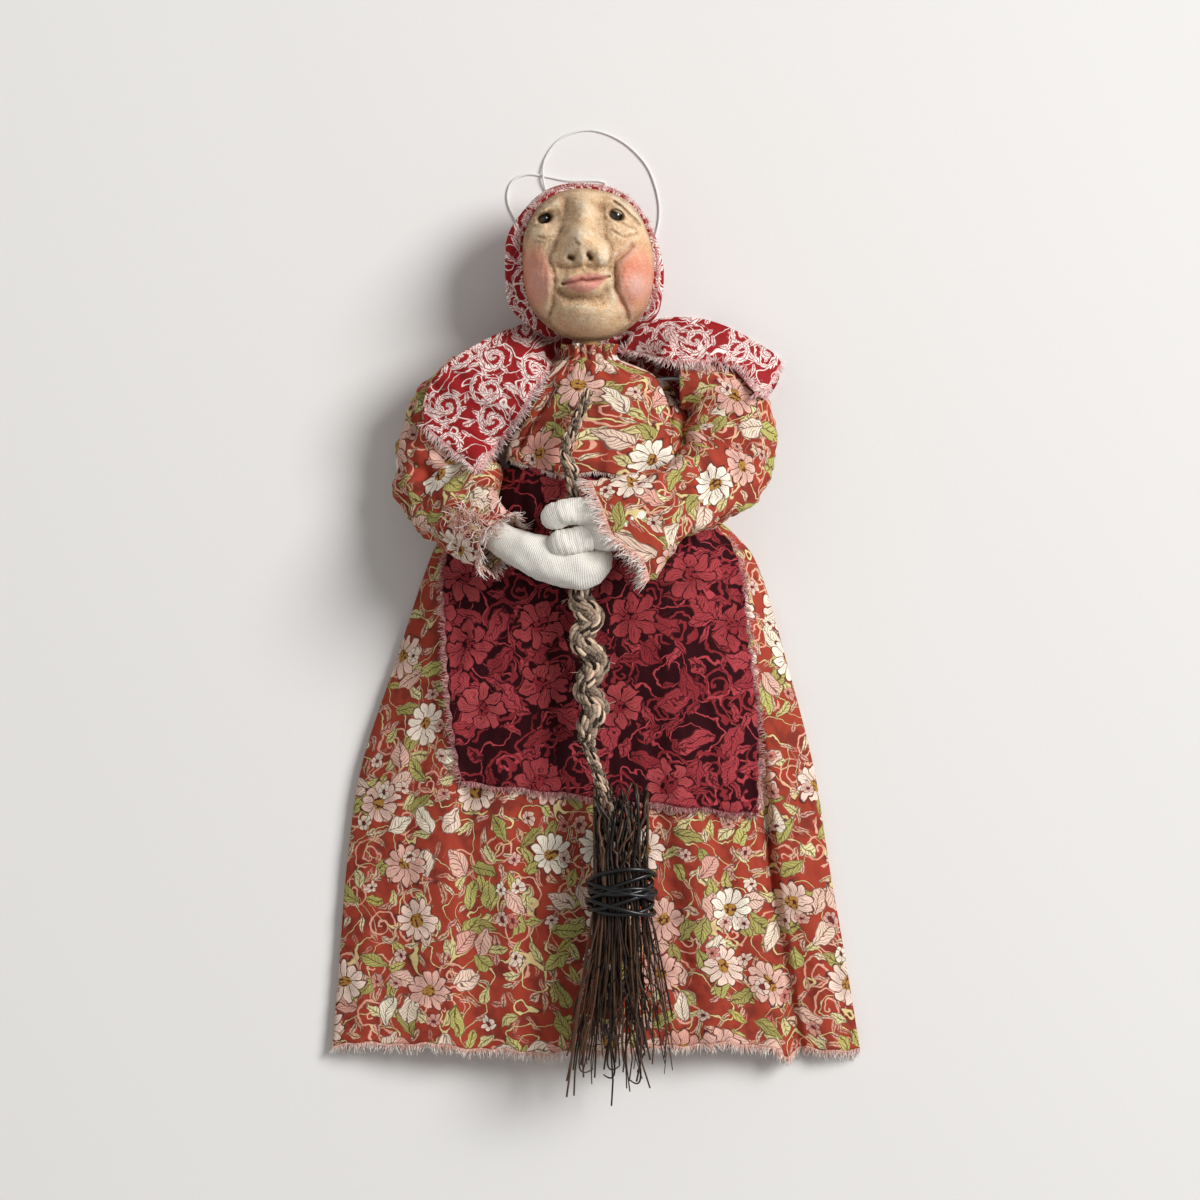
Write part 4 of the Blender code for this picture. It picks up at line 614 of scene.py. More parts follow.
def apple_skin(settings):
    """Dried apple flesh under a thin wax: leathery, with fine fibrous wrinkles, brown stain and painted shade in the
    cuts and hollows, and painted highlights on the swells.
    """
    made, add, join = new_material("dried and waxed apple", {
        "Roughness": 0.6, "Subsurface Weight": 0.06, "Subsurface Scale": 0.8 * MM, "Specular IOR Level": 0.35})
    made.node_tree.nodes["Principled BSDF"].inputs["Subsurface Radius"].default_value = (1.0, 0.5, 0.25)
    places = add("TexCoord").outputs["Object"]
    fibre = noise(add, places, 900, 6.0, 0.7, 2.5)
    patch = noise(add, places, 130, 5.0, 0.65)
    line = band(add, noise(add, places, 620, 3.0, 0.6, 3.0), 0.045, 0.0)
    wash_and_painted_shade, light, blush, lips = (attribute(add, name) for name in ("wash_and_painted_shade", "light", "blush", "lips"))
    dabs = add("ADD", [add("MULTIPLY", [fibre, 0.75]), add("MULTIPLY", [patch, 0.35])])
    tone = paint(add, "#E6B27E", settings.skin, edge_mask(add, dabs, 0.43, 0.60))
    # Painted highlight on the swells, cheeks and chin, mixed with pale random dabs
    bright = add("ADD", [add("MULTIPLY", [light, 0.34]), add("SUBTRACT", [dabs, 0.55])])
    tone = paint(add, tone, "#FFEBCC", edge_mask(add, bright, 0.02, 0.32))
    red = add("MULTIPLY", [blush, edge_mask(add, add("SUBTRACT", [dabs, add("MULTIPLY", [light, 0.1])]), 0.9, 0.45)])
    tone = paint(add, tone, settings.blush, red)
    # A pale pink painted highlight on the cheeks
    tone = paint(add, tone, "#F9CDBF", add("MULTIPLY", [add("MULTIPLY", [blush, light]), 0.85]))
    tone = paint(add, tone, settings.lips, add("MULTIPLY", [lips, 0.92]))
    # Brown stain and painted shade in the cuts and hollows, broken by the mottling
    stain_and_painted_shade = add("MULTIPLY", [wash_and_painted_shade, add("MULTIPLY_ADD", [edge_mask(add, dabs, 0.66, 0.44), 0.58, 0.24])])
    tone = paint(add, tone, "#74401E", add("MINIMUM", [stain_and_painted_shade, 0.94]))
    tone = paint(add, tone, "#A06C40", add("MULTIPLY", [line, 0.3]))
    join(tone, "Base Color")
    bump(add, join, add("SUBTRACT", [add("MULTIPLY", [fibre, 1.4]), add("MULTIPLY", [line, 0.5])]), 0.75, 0.32)
    return made


def gauze(name, tone):
    """Cotton gauze stretched over stuffing: matt, with fine ribs every half millimetre, and painted shade where its
    surface lies low.
    """
    made, add, join = new_material(name, {"Roughness": 0.92, "Sheen Weight": 0.3, "Subsurface Weight": 0.05,
                                          "Subsurface Scale": 1 * MM})
    flat, places = cloth_places(add, 0.8)
    axes = add("SeparateXYZ", [places])
    rib, weft = ribs(add, axes.outputs["X"], 0.62), ribs(add, axes.outputs["Y"], 0.5)
    height = add("ADD", [add("MULTIPLY", [rib, 0.55]), add("MULTIPLY", [weft, 0.2])])
    height = add("ADD", [height, add("MULTIPLY", [noise(add, flat, 1.5, 4.0, flat=True), 1.2])])
    # Painted shade: darker where the ribs and lumps lie low
    low = edge_mask(add, height, 0.9, -0.1)
    join(paint(add, tone, "#B9B1A0", add("MULTIPLY", [low, 0.45])), "Base Color")
    bump(add, join, height, 0.5, 0.2)
    return made


def plain_material(name, values, scale, spread):
    """A drawn or pressed surface whose gloss varies a little."""
    made, add, join = new_material(name, values)
    grain = noise(add, add("TexCoord").outputs["Object"], scale, 4.0)
    rough = values["Roughness"]
    join(add("MapRange", {"Value": grain, "To Min": rough - spread, "To Max": rough + spread}), "Roughness")
    return made


def smooth_rows(rows, steps):
    """More rows on a smooth curve through the given ones."""
    rows = np.array(rows, dtype=float)
    padded = np.vstack((2 * rows[0] - rows[1], rows, 2 * rows[-1] - rows[-2]))
    t = (np.arange(steps) / steps)[:, None]
    finer = []
    for before, here, there, after in zip(padded, padded[1:], padded[2:], padded[3:]):
        finer.append(0.5 * (2 * here + (there - before) * t + (2 * before - 5 * here + 4 * there - after) * t ** 2
                            + (3 * here - 3 * there + after - before) * t ** 3))
    return np.vstack(finer + [rows[-1:]])


def reach_along(points):
    """How far each point lies along a line through them."""
    return np.concatenate(([0], np.cumsum(np.linalg.norm(np.diff(points, axis=0), axis=1))))


def read_rows(marks, at, rows):
    """Rows read at marks between those that stand at given places."""
    return np.column_stack([np.interp(marks, at, column) for column in rows.T])


def even_rows(rows, count):
    """A number of rows at equal distances along a smooth curve through the given ones, and its length."""
    fine = smooth_rows(rows, CURVE_STEPS)
    reach = reach_along(fine[:, :3])
    return read_rows(np.linspace(0, reach[-1], count), reach, fine), reach[-1]


def even_shares(rows, count):
    """A number of rows at equal steps of their first column, from 0 to 1, on a smooth curve."""
    fine = smooth_rows(rows, CURVE_STEPS)
    return read_rows(np.linspace(0, 1, count), fine[:, 0], fine)


def grid(*parts):
    """Arrays that fit one shape as the coordinates of one grid."""
    return np.stack(np.broadcast_arrays(*parts), -1)


def waves(places, size, seed, count=12):
    """Smooth uneven swells of about a size, around zero, the same on each run."""
    chance = np.random.default_rng(seed)
    total = np.zeros(places.shape[:-1])
    for _ in range(count):
        way = chance.normal(size=places.shape[-1])
        way *= chance.uniform(0.6, 1.5) * math.tau / size / np.linalg.norm(way)
        total += np.sin(places @ way + chance.uniform(0, math.tau))
    return total / math.sqrt(count)


def unit(vectors):
    return vectors / np.maximum(np.linalg.norm(vectors, axis=-1, keepdims=True), 1e-12)


def step_curve(value, low, high):
    share = np.clip((value - low) / (high - low), 0, 1)
    return share * share * (3 - 2 * share)


def frame_along(centres):
    """The directions ahead, across and up at each place of a line."""
    ahead = unit(np.gradient(centres, axis=0))
    across = unit(np.cross(ahead, np.array((0.0, 0.0, 1.0))))
    return ahead, across, np.cross(across, ahead)


def outward_from(edge, places, rise):
    """The directions out of a sheet along its edge, raised a little."""
    sideways = unit(np.gradient(edge, axis=0)) @ np.array(((0, -1, 0), (1, 0, 0), (0, 0, 1)))
    facing = np.sum(sideways * (edge - places.reshape(-1, 3).mean(axis=0)), axis=1)
    return sideways * np.where(facing < 0, -1, 1)[:, None] + np.array((0, 0, rise))


def deselect():
    for obj in bpy.context.view_layer.objects:
        obj.select_set(False)


def settle(obj, body, material, replaces=()):
    """Give a finished piece its material, its body and the frame's solids that it stands for."""
    obj.data.materials.clear()
    obj.data.materials.append(material)
    obj.data.shade_smooth()
    if body:
        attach(obj, body)
    if replaces:
        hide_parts(*replaces)
    return obj


def woven(name, places, flat, weld=False, turned=False):
    """A sheet from a grid primitive: rows and columns of places, and the same of flat places in mm as its map."""
    rows, columns = places.shape[:2]
    deselect()
    bpy.ops.mesh.primitive_grid_add(x_subdivisions=columns - 1, y_subdivisions=rows - 1, size=1)
    obj = bpy.context.active_object
    obj.name = obj.data.name = name
    mesh = obj.data
    mesh.vertices.foreach_set("co", places.reshape(-1, 3).astype(np.float32).ravel())
    corners = np.zeros(len(mesh.loops), np.int32)
    mesh.loops.foreach_get("vertex_index", corners)
    mesh.uv_layers[0].name = CLOTH_MAP
    mesh.uv_layers[0].data.foreach_set("uv", flat.reshape(-1, 2)[corners].astype(np.float32).ravel())
    if weld or turned:
        form = bmesh.new()
        form.from_mesh(mesh)
        if weld:
            bmesh.ops.remove_doubles(form, verts=form.verts, dist=0.002 * MM)
            bmesh.ops.recalc_face_normals(form, faces=form.faces)
        if turned:
            bmesh.ops.reverse_faces(form, faces=form.faces)
        form.to_mesh(mesh)
        form.free()
    mesh.update()
    return obj


def use_modifier(obj, name, kind, **settings):
    """Add a modifier with its settings and apply it."""
    deselect()
    obj.select_set(True)
    bpy.context.view_layer.objects.active = obj
    bpy.ops.object.modifier_add(type=kind)
    made = obj.modifiers[-1]
    made.name = name
    for key, value in settings.items():
        setattr(made, key, value)
    bpy.ops.object.modifier_apply(modifier=name)


def thicken(sheet, offset):
    """Give a sheet its cloth's thickness, outward at 1, inward at -1 and both ways at 0."""
    use_modifier(sheet, "Cloth", "SOLIDIFY", thickness=bpy.context.scene.doll_cloth.cloth, offset=offset)


def rods(name, routes, radii, sides=3, reference=(0.17, 0.11, 0.98), seed=1):
    """Many thin round rods as one mesh, along routes of equally many places, closed at both ends."""
    routes = np.asarray(routes, float)
    count, steps = routes.shape[:2]
    radii = np.broadcast_to(np.asarray(radii, float), (count, steps))
    ahead = unit(np.gradient(routes, axis=1))
    across = unit(np.cross(ahead, np.array(reference)))
    up = np.cross(across, ahead)
    angles = math.tau * np.arange(sides) / sides
    spokes = across[:, :, None] * np.cos(angles)[:, None] + up[:, :, None] * np.sin(angles)[:, None]
    verts = routes[:, :, None] + spokes * radii[:, :, None, None]
    index = np.arange(count * steps * sides).reshape(count, steps, sides)
    low, high = index[:, :-1], index[:, 1:]
    quads = np.stack((low, np.roll(low, -1, 2), np.roll(high, -1, 2), high), -1).reshape(-1, 4)
    caps = np.concatenate((index[:, 0, ::-1], index[:, -1])).tolist()
    mesh = bpy.data.meshes.new(name)
    mesh.from_pydata(verts.reshape(-1, 3).tolist(), [], quads.tolist() + caps)
    chance = np.random.default_rng(seed)
    shares = {"along": np.broadcast_to(np.linspace(0, 1, steps)[None, :, None], index.shape),
              "strand": np.broadcast_to(chance.random(count)[:, None, None], index.shape)}
    for key, values in shares.items():
        mesh.attributes.new(key, "FLOAT", "POINT").data.foreach_set("value", values.ravel().astype(np.float32))
    obj = bpy.data.objects.new(name, mesh)
    bpy.context.scene.collection.objects.link(obj)
    return obj


def fray(name, edge, outward, body, material):
    """Loose threads along a raw edge, each with its own length and bend."""
    cloth = bpy.context.scene.doll_cloth
    length, seed, pitch, radius, spread, lift = FRAYS[name]
    length, pitch = length * MM, pitch * MM if pitch else cloth.fray_pitch
    radius = radius * MM if radius else cloth.thread / 2
    chance = np.random.default_rng(seed)
    reach = reach_along(edge)
    marks = np.arange(pitch / 2, reach[-1], pitch)
    marks = marks + chance.uniform(-0.4, 0.4, len(marks)) * pitch
    start = read_rows(marks, reach, edge)
    out = unit(read_rows(marks, reach, outward))
    ahead = unit(read_rows(marks, reach, np.gradient(edge, axis=0)))
    clump = np.sin(marks / (2.6 * MM) + seed) * 0.3 + np.sin(marks / (0.9 * MM) + seed) * 0.25
    lean = chance.normal(0, spread, len(marks)) + clump
    curl = chance.normal(0, spread, len(marks))
    rise = chance.normal(lift, 0.16, len(marks))
    long = length * chance.uniform(0.45, 1.1, len(marks))
    taper = np.array((1.0, 1.0, 0.95, 0.8, 0.35))
    t = np.linspace(0, 1, len(taper))[None, :, None]
    way = unit(out + ahead * lean[:, None] + np.array((0, 0, 1)) * rise[:, None])
    route = start[:, None] - way[:, None] * 0.4 * MM + way[:, None] * (long[:, None, None] * t)
    route = route + ahead[:, None] * (curl * long * 0.35)[:, None, None] * t ** 2
    route[:, :, 2] = np.maximum(route[:, :, 2], 0.2 * MM)
    threads = rods(name, route, radius * taper[None, :] * chance.uniform(0.8, 1.3, (len(marks), 1)), seed=seed)
    return settle(threads, body, material)


def tree_of(*objects):
    """The pieces that a cloth lies on, as one tree for rays."""
    form = bmesh.new()
    for obj in objects:
        form.from_mesh(obj.data)
    tree = BVHTree.FromBMesh(form)
    form.free()
    return tree


def heights(tree, places, spread):
    """The height of what lies under each place of a grid, over a small patch round it."""
    found = np.zeros(places.shape[:2])
    shifts = [(0.0, 0.0)] + [(spread * math.cos(a), spread * math.sin(a)) for a in np.arange(4) * math.pi / 2]
    for row, column in np.ndindex(found.shape):
        x, y = places[row, column, :2]
        best = 0.0
        for dx, dy in shifts:
            hit = tree.ray_cast(Vector((x + dx, y + dy, RAY_START)), Vector((0, 0, -1)))[0]
            if hit is not None and hit.z > best:
                best = hit.z
        found[row, column] = best
    return found


def relax(low, rounds):
    """A taut cloth's heights over the least ones that it may have."""
    high = low.copy()
    for _ in range(rounds):
        padded = np.pad(high, 1, mode="edge")
        mean = (padded[:-2, 1:-1] + padded[2:, 1:-1] + padded[1:-1, :-2] + padded[1:-1, 2:]) / 4
        high = np.maximum(low, mean)
    return high


def oval_limb(path, columns, ripple):
    """Rings of an oval limb along a path of x, y, z, half width and half depth, and its flat places in mm."""
    centres = path[:, :3]
    _, across, up = frame_along(centres)
    angles = np.linspace(0, math.tau, columns + 1)
    wide, deep = path[:, 3, None], path[:, 4, None]
    spokes = (across[:, None] * (wide * np.cos(angles))[:, :, None]
              + up[:, None] * (deep * np.sin(angles))[:, :, None])
    places = centres[:, None] + spokes
    reach = reach_along(centres)
    girth = (path[:, 3].max() + path[:, 4].max()) / 2
    flat = grid(angles[None, :] * girth / MM, reach[:, None] / MM)
    turn = angles.copy()
    turn[-1] = 0
    places = places + unit(spokes) * ripple(reach[:, None], turn[None, :], places)[:, :, None]
    places[:, -1] = places[:, 0]
    return places, flat


def arm_places(shares):
    return [(ARM_REACH[0] * x, SHOULDER_Y + ARM_REACH[1] * y, BODY_Z + ARM_REACH[2] * z) for x, y, z in shares]


class DOLL_OT_stage(bpy.types.Operator):
    """Make the pale paper under the doll, the soft lamps and the camera straight above"""
    bl_idname = "doll.stage"
    bl_label = "Stage"

    def execute(self, context):
        stage = context.scene.doll_stage
        scene = context.scene
        deselect()
        bpy.ops.mesh.primitive_grid_add(x_subdivisions=8, y_subdivisions=8, size=6)
        floor = context.active_object
        floor.name = "paper"
        made, add, join = new_material("matt paper", {"Roughness": 0.85, "Specular IOR Level": 0.2})
        fibres = noise(add, add("TexCoord").outputs["Object"], 900, 3.0)
        join(paint(add, stage.floor, "#E2E0DD", add("MULTIPLY", [fibres, 0.5])), "Base Color")
        floor.data.materials.append(made)
        camera = bpy.data.objects.new("camera", bpy.data.cameras.new("camera"))
        camera.location = (*VIEW_MIDDLE[:2], stage.distance)
        camera.data.lens = SENSOR * (stage.distance - VIEW_MIDDLE[2]) / stage.view_width
        camera.data.sensor_width = SENSOR
        camera.data.clip_start = 0.05
        camera.data.clip_end = 20
        scene.collection.objects.link(camera)
        scene.camera = camera
        for name, place, size, power in LAMPS:
            lamp = bpy.data.lights.new(name, "AREA")
            lamp.shape, lamp.size, lamp.energy = "DISK", size, power
            obj = bpy.data.objects.new(name, lamp)
            obj.location = place
            obj.rotation_euler = (-Vector(place)).to_track_quat("-Z", "Y").to_euler()
            scene.collection.objects.link(obj)
        world = bpy.data.worlds.new("room")
        world.use_nodes = True
        scene.world = world
        tree = world.node_tree
        seen = add_node(tree, "LightPath").outputs["Is Camera Ray"]
        back = tree.nodes["Background"]
        mixed = add_node(tree, "Mix", {0: seen, 6: "#C9C8C6", 7: stage.floor}, data_type="RGBA")
        tree.links.new(mixed.outputs[2], back.inputs["Color"])
        back.inputs["Strength"].default_value = ROOM_LIGHT
        scene.view_settings.view_transform = "Standard"
        return {"FINISHED"}


class DOLL_OT_thread(bpy.types.Operator):
    """Lay the thin white thread in loose loops behind the head"""
    bl_idname = "doll.thread"
    bl_label = "Hanging thread"

    def execute(self, context):
        sizes = context.scene.doll_thread
        route, length = even_rows(np.array(THREAD_ROUTE) * MM, 120)
        curve = bpy.data.curves.new("thread_loops", "CURVE")
        curve.dimensions = "3D"
        curve.bevel_depth = sizes.diameter / 2
        curve.bevel_resolution = 3
        curve.use_fill_caps = True
        line = curve.splines.new("POLY")
        line.points.add(len(route) - 1)
        line.points.foreach_set("co", np.column_stack((route, np.ones(len(route)))).ravel())
        thread = bpy.data.objects.new("thread_loops", curve)
        context.scene.collection.objects.link(thread)
        values = {"Roughness": 0.75, "Sheen Weight": 0.3}
        curve.materials.append(fibre_material("cotton sewing thread", values, "#E2E1DC", sizes.colour, 2500, 0.4))
        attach(thread, "body")
        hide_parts("hanging_thread")
        return {"FINISHED"}


def face_relief(x, y, carving):
    """Lift of the carving at places in mm on the face, and how much brown stain and painted shade its cuts hold."""
    lift = np.zeros(len(x))
    for middle, up, wide, tall, turn, rise in FACE_SWELLS:
        angle = math.radians(turn)
        dx, dy = x - middle, y - up
        across = (dx * math.cos(angle) - dy * math.sin(angle)) / wide
        down = (dx * math.sin(angle) + dy * math.cos(angle)) / tall
        far = across ** 2 + down ** 2
        lift += 1.2 * rise * np.exp(-far ** 1.35)
    stain_and_painted_shade = np.zeros(len(x))
    x, y = x + 0.4 * np.sin(0.55 * y + 1.3), y + 0.3 * np.sin(0.6 * x)
    for points, wide, depth in FACE_CREASES:
        near = np.full(len(x), 1e9)
        for (x1, y1), (x2, y2) in zip(points, points[1:]):
            run, climb = x2 - x1, y2 - y1
            share = np.clip(((x - x1) * run + (y - y1) * climb) / (run ** 2 + climb ** 2), 0, 1)
            near = np.minimum(near, np.hypot(x - x1 - run * share, y - y1 - climb * share))
        lift += depth * carving * np.exp(-(near / wide) ** 1.5)
        # The cuts' darkening: brown stain, and painted shade in the deep ones such as the nostrils
        stain_and_painted_shade = np.maximum(stain_and_painted_shade, np.exp(-(near / (wide * 1.3)) ** 1.5) * min(1.0, abs(depth)))
    return lift, stain_and_painted_shade


def oval_share(x, y, middle, up, wide, tall, hard=2.0):
    return np.exp(-(((x - middle) / wide) ** 2 + ((y - up) / tall) ** 2) ** (hard / 2))


def turn_bump(turn, middle, width):
    """A swell round a turn in degrees."""
    off = (np.degrees(turn) - middle + 180) % 360 - 180
    return np.exp(-(off / width) ** 2)


def apple_points(ways, stand=0.0):
    """Places on the plain apple, squarer than an oval, or stood off from it, in directions from its middle."""
    turn = np.arctan2(ways[:, 1], ways[:, 0])
    square = 1 + (0.09 * turn_bump(turn, 150, 24) + 0.055 * turn_bump(turn, 120, 22) + 0.03 * turn_bump(turn, 50, 25)
                  + 0.045 * turn_bump(turn, -35, 22) + 0.045 * turn_bump(turn, -148, 22))
    deep = np.where(ways[:, 2] > 0, HEAD_FRONT, HEAD_BACK) + stand
    return HEAD_CENTRE + np.column_stack((ways[:, 0] * (HEAD_HALF[0] * square + stand),
                                          ways[:, 1] * (HEAD_HALF[1] * square + stand), ways[:, 2] * deep))


def eye_socket(points, front, name, radius):
    """Sink the socket round a bead, lay its lids over it and give the painted shade round it."""
    lean, lid_height = EYE_LIDS[name]
    low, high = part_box(name)
    middle = np.array((low + high) / 2)
    dx, dy = ((points - middle)[:, :2] / MM).T
    reach, angle = np.hypot(dx, dy), math.radians(lean)
    along, above = dx * math.cos(angle) + dy * math.sin(angle), dy * math.cos(angle) - dx * math.sin(angle)
    almond = np.hypot(along / 3.1, above / 2.0)
    bead = middle[2] / MM + np.sqrt(np.maximum(0, radius ** 2 - reach ** 2))
    height = points[:, 2] / MM + 0.9 * np.exp(-((almond - 1.35) / 0.28) ** 2) * front
    if name == "eye_left":
        # This socket's inner corner is cut away, so that the bead shows beside the nose
        opened = np.exp(-((dy - 0.4 * dx) / 2.8) ** 2) * step_curve(dx, 0.0, 1.2) * step_curve(dx, 7.5, 4.5)
        cap = np.minimum(height, middle[2] / MM + 1.9 + 0.85 * dx)
        height = height + (cap - height) * opened * front
    hollow = step_curve(almond, 1.02, 0.86) * front
    height = height * (1 - hollow) + np.minimum(height, middle[2] / MM + 0.2) * hollow
    cover = step_curve(above, lid_height - 0.25, lid_height + 0.2) * step_curve(almond, 1.45, 1.2) * front
    height = height * (1 - cover) + np.maximum(height, bead + 0.35) * cover
    points[:, 2] = height * MM
    # A ring of painted shade round the bead, darker on its upper side, under the lid
    return (0.5 + 0.5 * step_curve(above, 0.3, 1.4)) * np.exp(-((almond - 1.02) / 0.16) ** 2) * front


def face_paint(ways, x, y, stain_and_painted_shade, hollows):
    """How much brown stain and painted shade, blush, painted highlight and lip paint lies at places in mm on the face.
    """
    rim = step_curve(ways[:, 2], 0.0, 0.3)
    # Brown stain in the cuts, and painted shade in the hollows, round the eyes, under the chin, along the face's edge
    # under the hood and in the listed ovals
    wash_and_painted_shade = np.maximum.reduce((
        stain_and_painted_shade, np.clip(hollows * 2.2, 0, 1) ** 1.2 * rim, 0.4 * step_curve(y, -24.5, -27.6),
        step_curve(np.hypot(x / 24, y / 27.6), 0.91, 1.0),
        *(share * oval_share(x, y, *oval) for share, *oval in FACE_STAIN_AND_SHADE)))
    cheek_right = step_curve(x, 8.4, 11.2) * oval_share(x, y, 16.8, -6.0, 8.6, 11.5, 3.6)
    cheek_left = oval_share(x, y, -20.5, -5.0, 7.5, 11.5, 5.0) * step_curve(-x, 12.0, 14.0)
    blush = np.maximum(cheek_right, cheek_left) * (ways[:, 2] > -0.2)
    u = x + 1.3
    v = y + 6.6 - 0.115 * u
    top = 2.7 * (1 - (np.abs(u) / 8.3) ** 2) * (1 - 0.2 * np.exp(-((u + 0.3) / 1.3) ** 2))
    low = -4.4 * (1 - (np.abs(u) / 7.6) ** 2.2)
    lips = step_curve(top - v, -0.2, 0.35) * step_curve(v - low, -0.2, 0.35) * (np.abs(u) < 8.3) * (ways[:, 2] > 0)
    # Painted highlight on the swells of the carving, the cheeks and the chin
    light = np.maximum.reduce((np.clip(-hollows * 2.4, 0, 0.8) * rim,
                               *(share * oval_share(x, y, *oval) for share, *oval in FACE_PAINTED_HIGHLIGHTS)))
    parting = np.exp(-(np.abs(v + 0.15 * np.sin(u * 1.3)) / 0.42) ** 2) * lips
    # Less of it under blush and lip paint, and a line of painted shade where the lips part
    wash_and_painted_shade = np.maximum(wash_and_painted_shade * (1 - 0.6 * blush) * (1 - 0.85 * lips), 0.85 * parting)
    # Less painted highlight round the mouth, and a painted highlight on the lower lip
    mouth = oval_share(x, y, -1.3, -7.6, 10.0, 5.6, 6.0)
    light = np.maximum(light * (1 - 0.75 * mouth), 0.7 * lips * oval_share(x, y, 0.5, -8.8, 4.0, 1.6))
    return {"wash_and_painted_shade": wash_and_painted_shade, "blush": blush, "light": light, "lips": lips}


class DOLL_OT_head(bpy.types.Operator):
    """Carve the dried apple head and set its bead eyes"""
    bl_idname = "doll.head"
    bl_label = "Apple head"

    def execute(self, context):
        sizes = context.scene.doll_head
        deselect()
        bpy.ops.mesh.primitive_ico_sphere_add(subdivisions=7, radius=1)
        head = context.active_object
        head.name = head.data.name = "apple_head"
        mesh = head.data
        ways = np.zeros(len(mesh.vertices) * 3, np.float32)
        mesh.vertices.foreach_get("co", ways)
        ways = ways.reshape(-1, 3).astype(float)
        tilt = np.arccos(np.clip(ways[:, 2], -1, 1)) / math.pi
        turn = np.arctan2(ways[:, 1], ways[:, 0])
        tilt = math.pi * tilt ** FACE_CROWDING
        ways = np.column_stack((np.sin(tilt) * np.cos(turn), np.sin(tilt) * np.sin(turn), np.cos(tilt)))
        points = apple_points(ways)
        x, y = ((points - HEAD_CENTRE)[:, :2] / MM).T
        lift, stain_and_painted_shade = face_relief(x, y, sizes.carving)
        hollows = sum(face_relief(x + dx, y + dy, sizes.carving)[0] for dx, dy in
                      ((HOLLOW_REACH, 0), (-HOLLOW_REACH, 0), (0, HOLLOW_REACH), (0, -HOLLOW_REACH))) / 4 - lift
        lift += 0.2 * waves(points, 6 * MM, 3) + 0.09 * waves(points, 2.2 * MM, 4)
        points[:, 2] += lift * MM * step_curve(ways[:, 2], 0.0, 0.3)
        for name in EYE_LIDS:
            stain_and_painted_shade = np.maximum(stain_and_painted_shade, eye_socket(points, ways[:, 2] > 0, name, sizes.bead / 2 / MM))
        mesh.vertices.foreach_set("co", points.astype(np.float32).ravel())
        for key, values in face_paint(ways, x, y, stain_and_painted_shade, hollows).items():
            mesh.attributes.new(key, "FLOAT", "POINT").data.foreach_set("value", values.astype(np.float32))
        mesh.update()
        if len(mesh.polygons) > MOST_TRIANGLES:
            use_modifier(head, "Thin", "DECIMATE", ratio=MOST_TRIANGLES / len(mesh.polygons))
        settle(head, "head", apple_skin(sizes), ("head",))
        glass = plain_material("pressed glass bead", {"Base Color": "#08080A", "Roughness": 0.05,
                                                      "Specular IOR Level": 1.0}, 400, 0.02)
        for name in EYE_LIDS:
            low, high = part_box(name)
            deselect()
            bpy.ops.mesh.primitive_uv_sphere_add(segments=40, ring_count=24, radius=sizes.bead / 2,
                                                 location=(low + high) / 2)
            bead = context.active_object
            bead.name = bead.data.name = name.replace("eye", "bead")
            bpy.ops.object.transform_apply(location=True, rotation=False, scale=False)
            settle(bead, "head", glass, (name,))
        return {"FINISHED"}


class DOLL_OT_hood(bpy.types.Operator):
    """Wrap the kerchief's hood round the back of the head, with its frayed front edge"""
    bl_idname = "doll.hood"
    bl_label = "Kerchief hood"

    def execute(self, context):
        cloth = context.scene.doll_cloth
        print_cloth = kerchief_print("crimson kerchief cotton", cloth.shawl)
        rows, columns = 90, 240
        turn = np.linspace(-math.pi, math.pi, columns + 1)
        chin = turn_bump(turn, -88, 34) ** 0.8
        edge = np.radians(81 - 4 * turn_bump(turn, 60, 70) + 40 * chin)
        down = np.linspace(0, 1, rows)[:, None]
        tilt = edge + (math.pi - edge) * down ** 1.25
        grid_turn = np.broadcast_to(turn, tilt.shape)
        ways = np.stack((np.sin(tilt) * np.cos(grid_turn), np.sin(tilt) * np.sin(grid_turn), np.cos(tilt)), -1)
        side = turn_bump(turn, -168, 42) * 5.6 + turn_bump(turn, -25, 34) * 3.0 + turn_bump(turn, 130, 40) * 0.8
        belly = step_curve(down, 0.0, 0.07) * np.exp(-((down - 0.09) / 0.38) ** 2)
        stand = 0.75 + side * belly * (1 + 0.1 * np.sin(turn * 9 + 1))
        stand = stand + 0.4 * waves(ways, 0.5, 11) * step_curve(down, 0.03, 0.3) * np.exp(-down * 1.5)
        gathers = np.sin(grid_turn * 17 + 2 * np.sin(grid_turn * 3)) * np.exp(-((down - 0.35) / 0.3) ** 2)
        stand = stand + 0.35 * gathers * step_curve(-np.sin(grid_turn), 0.0, 0.8)
        stand = np.maximum(stand, 0.7) * (1 - step_curve(down, 0.94, 1.0)) + 0.8 * step_curve(down, 0.9, 1.0)
        places = apple_points(ways.reshape(-1, 3), stand.ravel() * MM).reshape(ways.shape)
        hem = places[:1] - HEAD_CENTRE
        hem = hem * np.array((1, 1, 0)) / np.linalg.norm(hem[:, :, :2], axis=-1)[:, :, None]
        inner = [places[:1] - hem * back * MM + np.array((0, 0, lift * MM))
                 for back, lift in ((0.5, -2.2), (0.9, -0.6), (0.75, 0.5), (0.3, 0.9))]
        places = np.concatenate(inner + [places])
        places[:, :, 2] = np.maximum(places[:, :, 2], 1.7 * MM)
        places[:, -1] = places[:, 0]
        steps = np.linalg.norm(np.diff(places, axis=0), axis=-1)
        reach = np.concatenate((np.zeros((1, columns + 1)), np.cumsum(steps, axis=0))) / MM
        flat = grid(turn[None, :] * 26, reach)
        hood = woven("kerchief", places, flat, weld=True)
        thicken(hood, 1)
        settle(hood, "head", print_cloth, ("kerchief_hood",))
        top = places[2] + np.array((0, 0, 0.3 * MM))
        out = unit((top - HEAD_CENTRE) * np.array((1, 1, 0))) - np.array((0, 0, 0.1))
        loose = fray_threads("kerchief fray", "#B5414A", "#EEC9C2")
        span = np.flatnonzero((np.degrees(turn) > -40) & (np.degrees(turn) < 168))
        threads = fray("kerchief_fray", top[span], out[span], "head", loose)
        return {"FINISHED"}


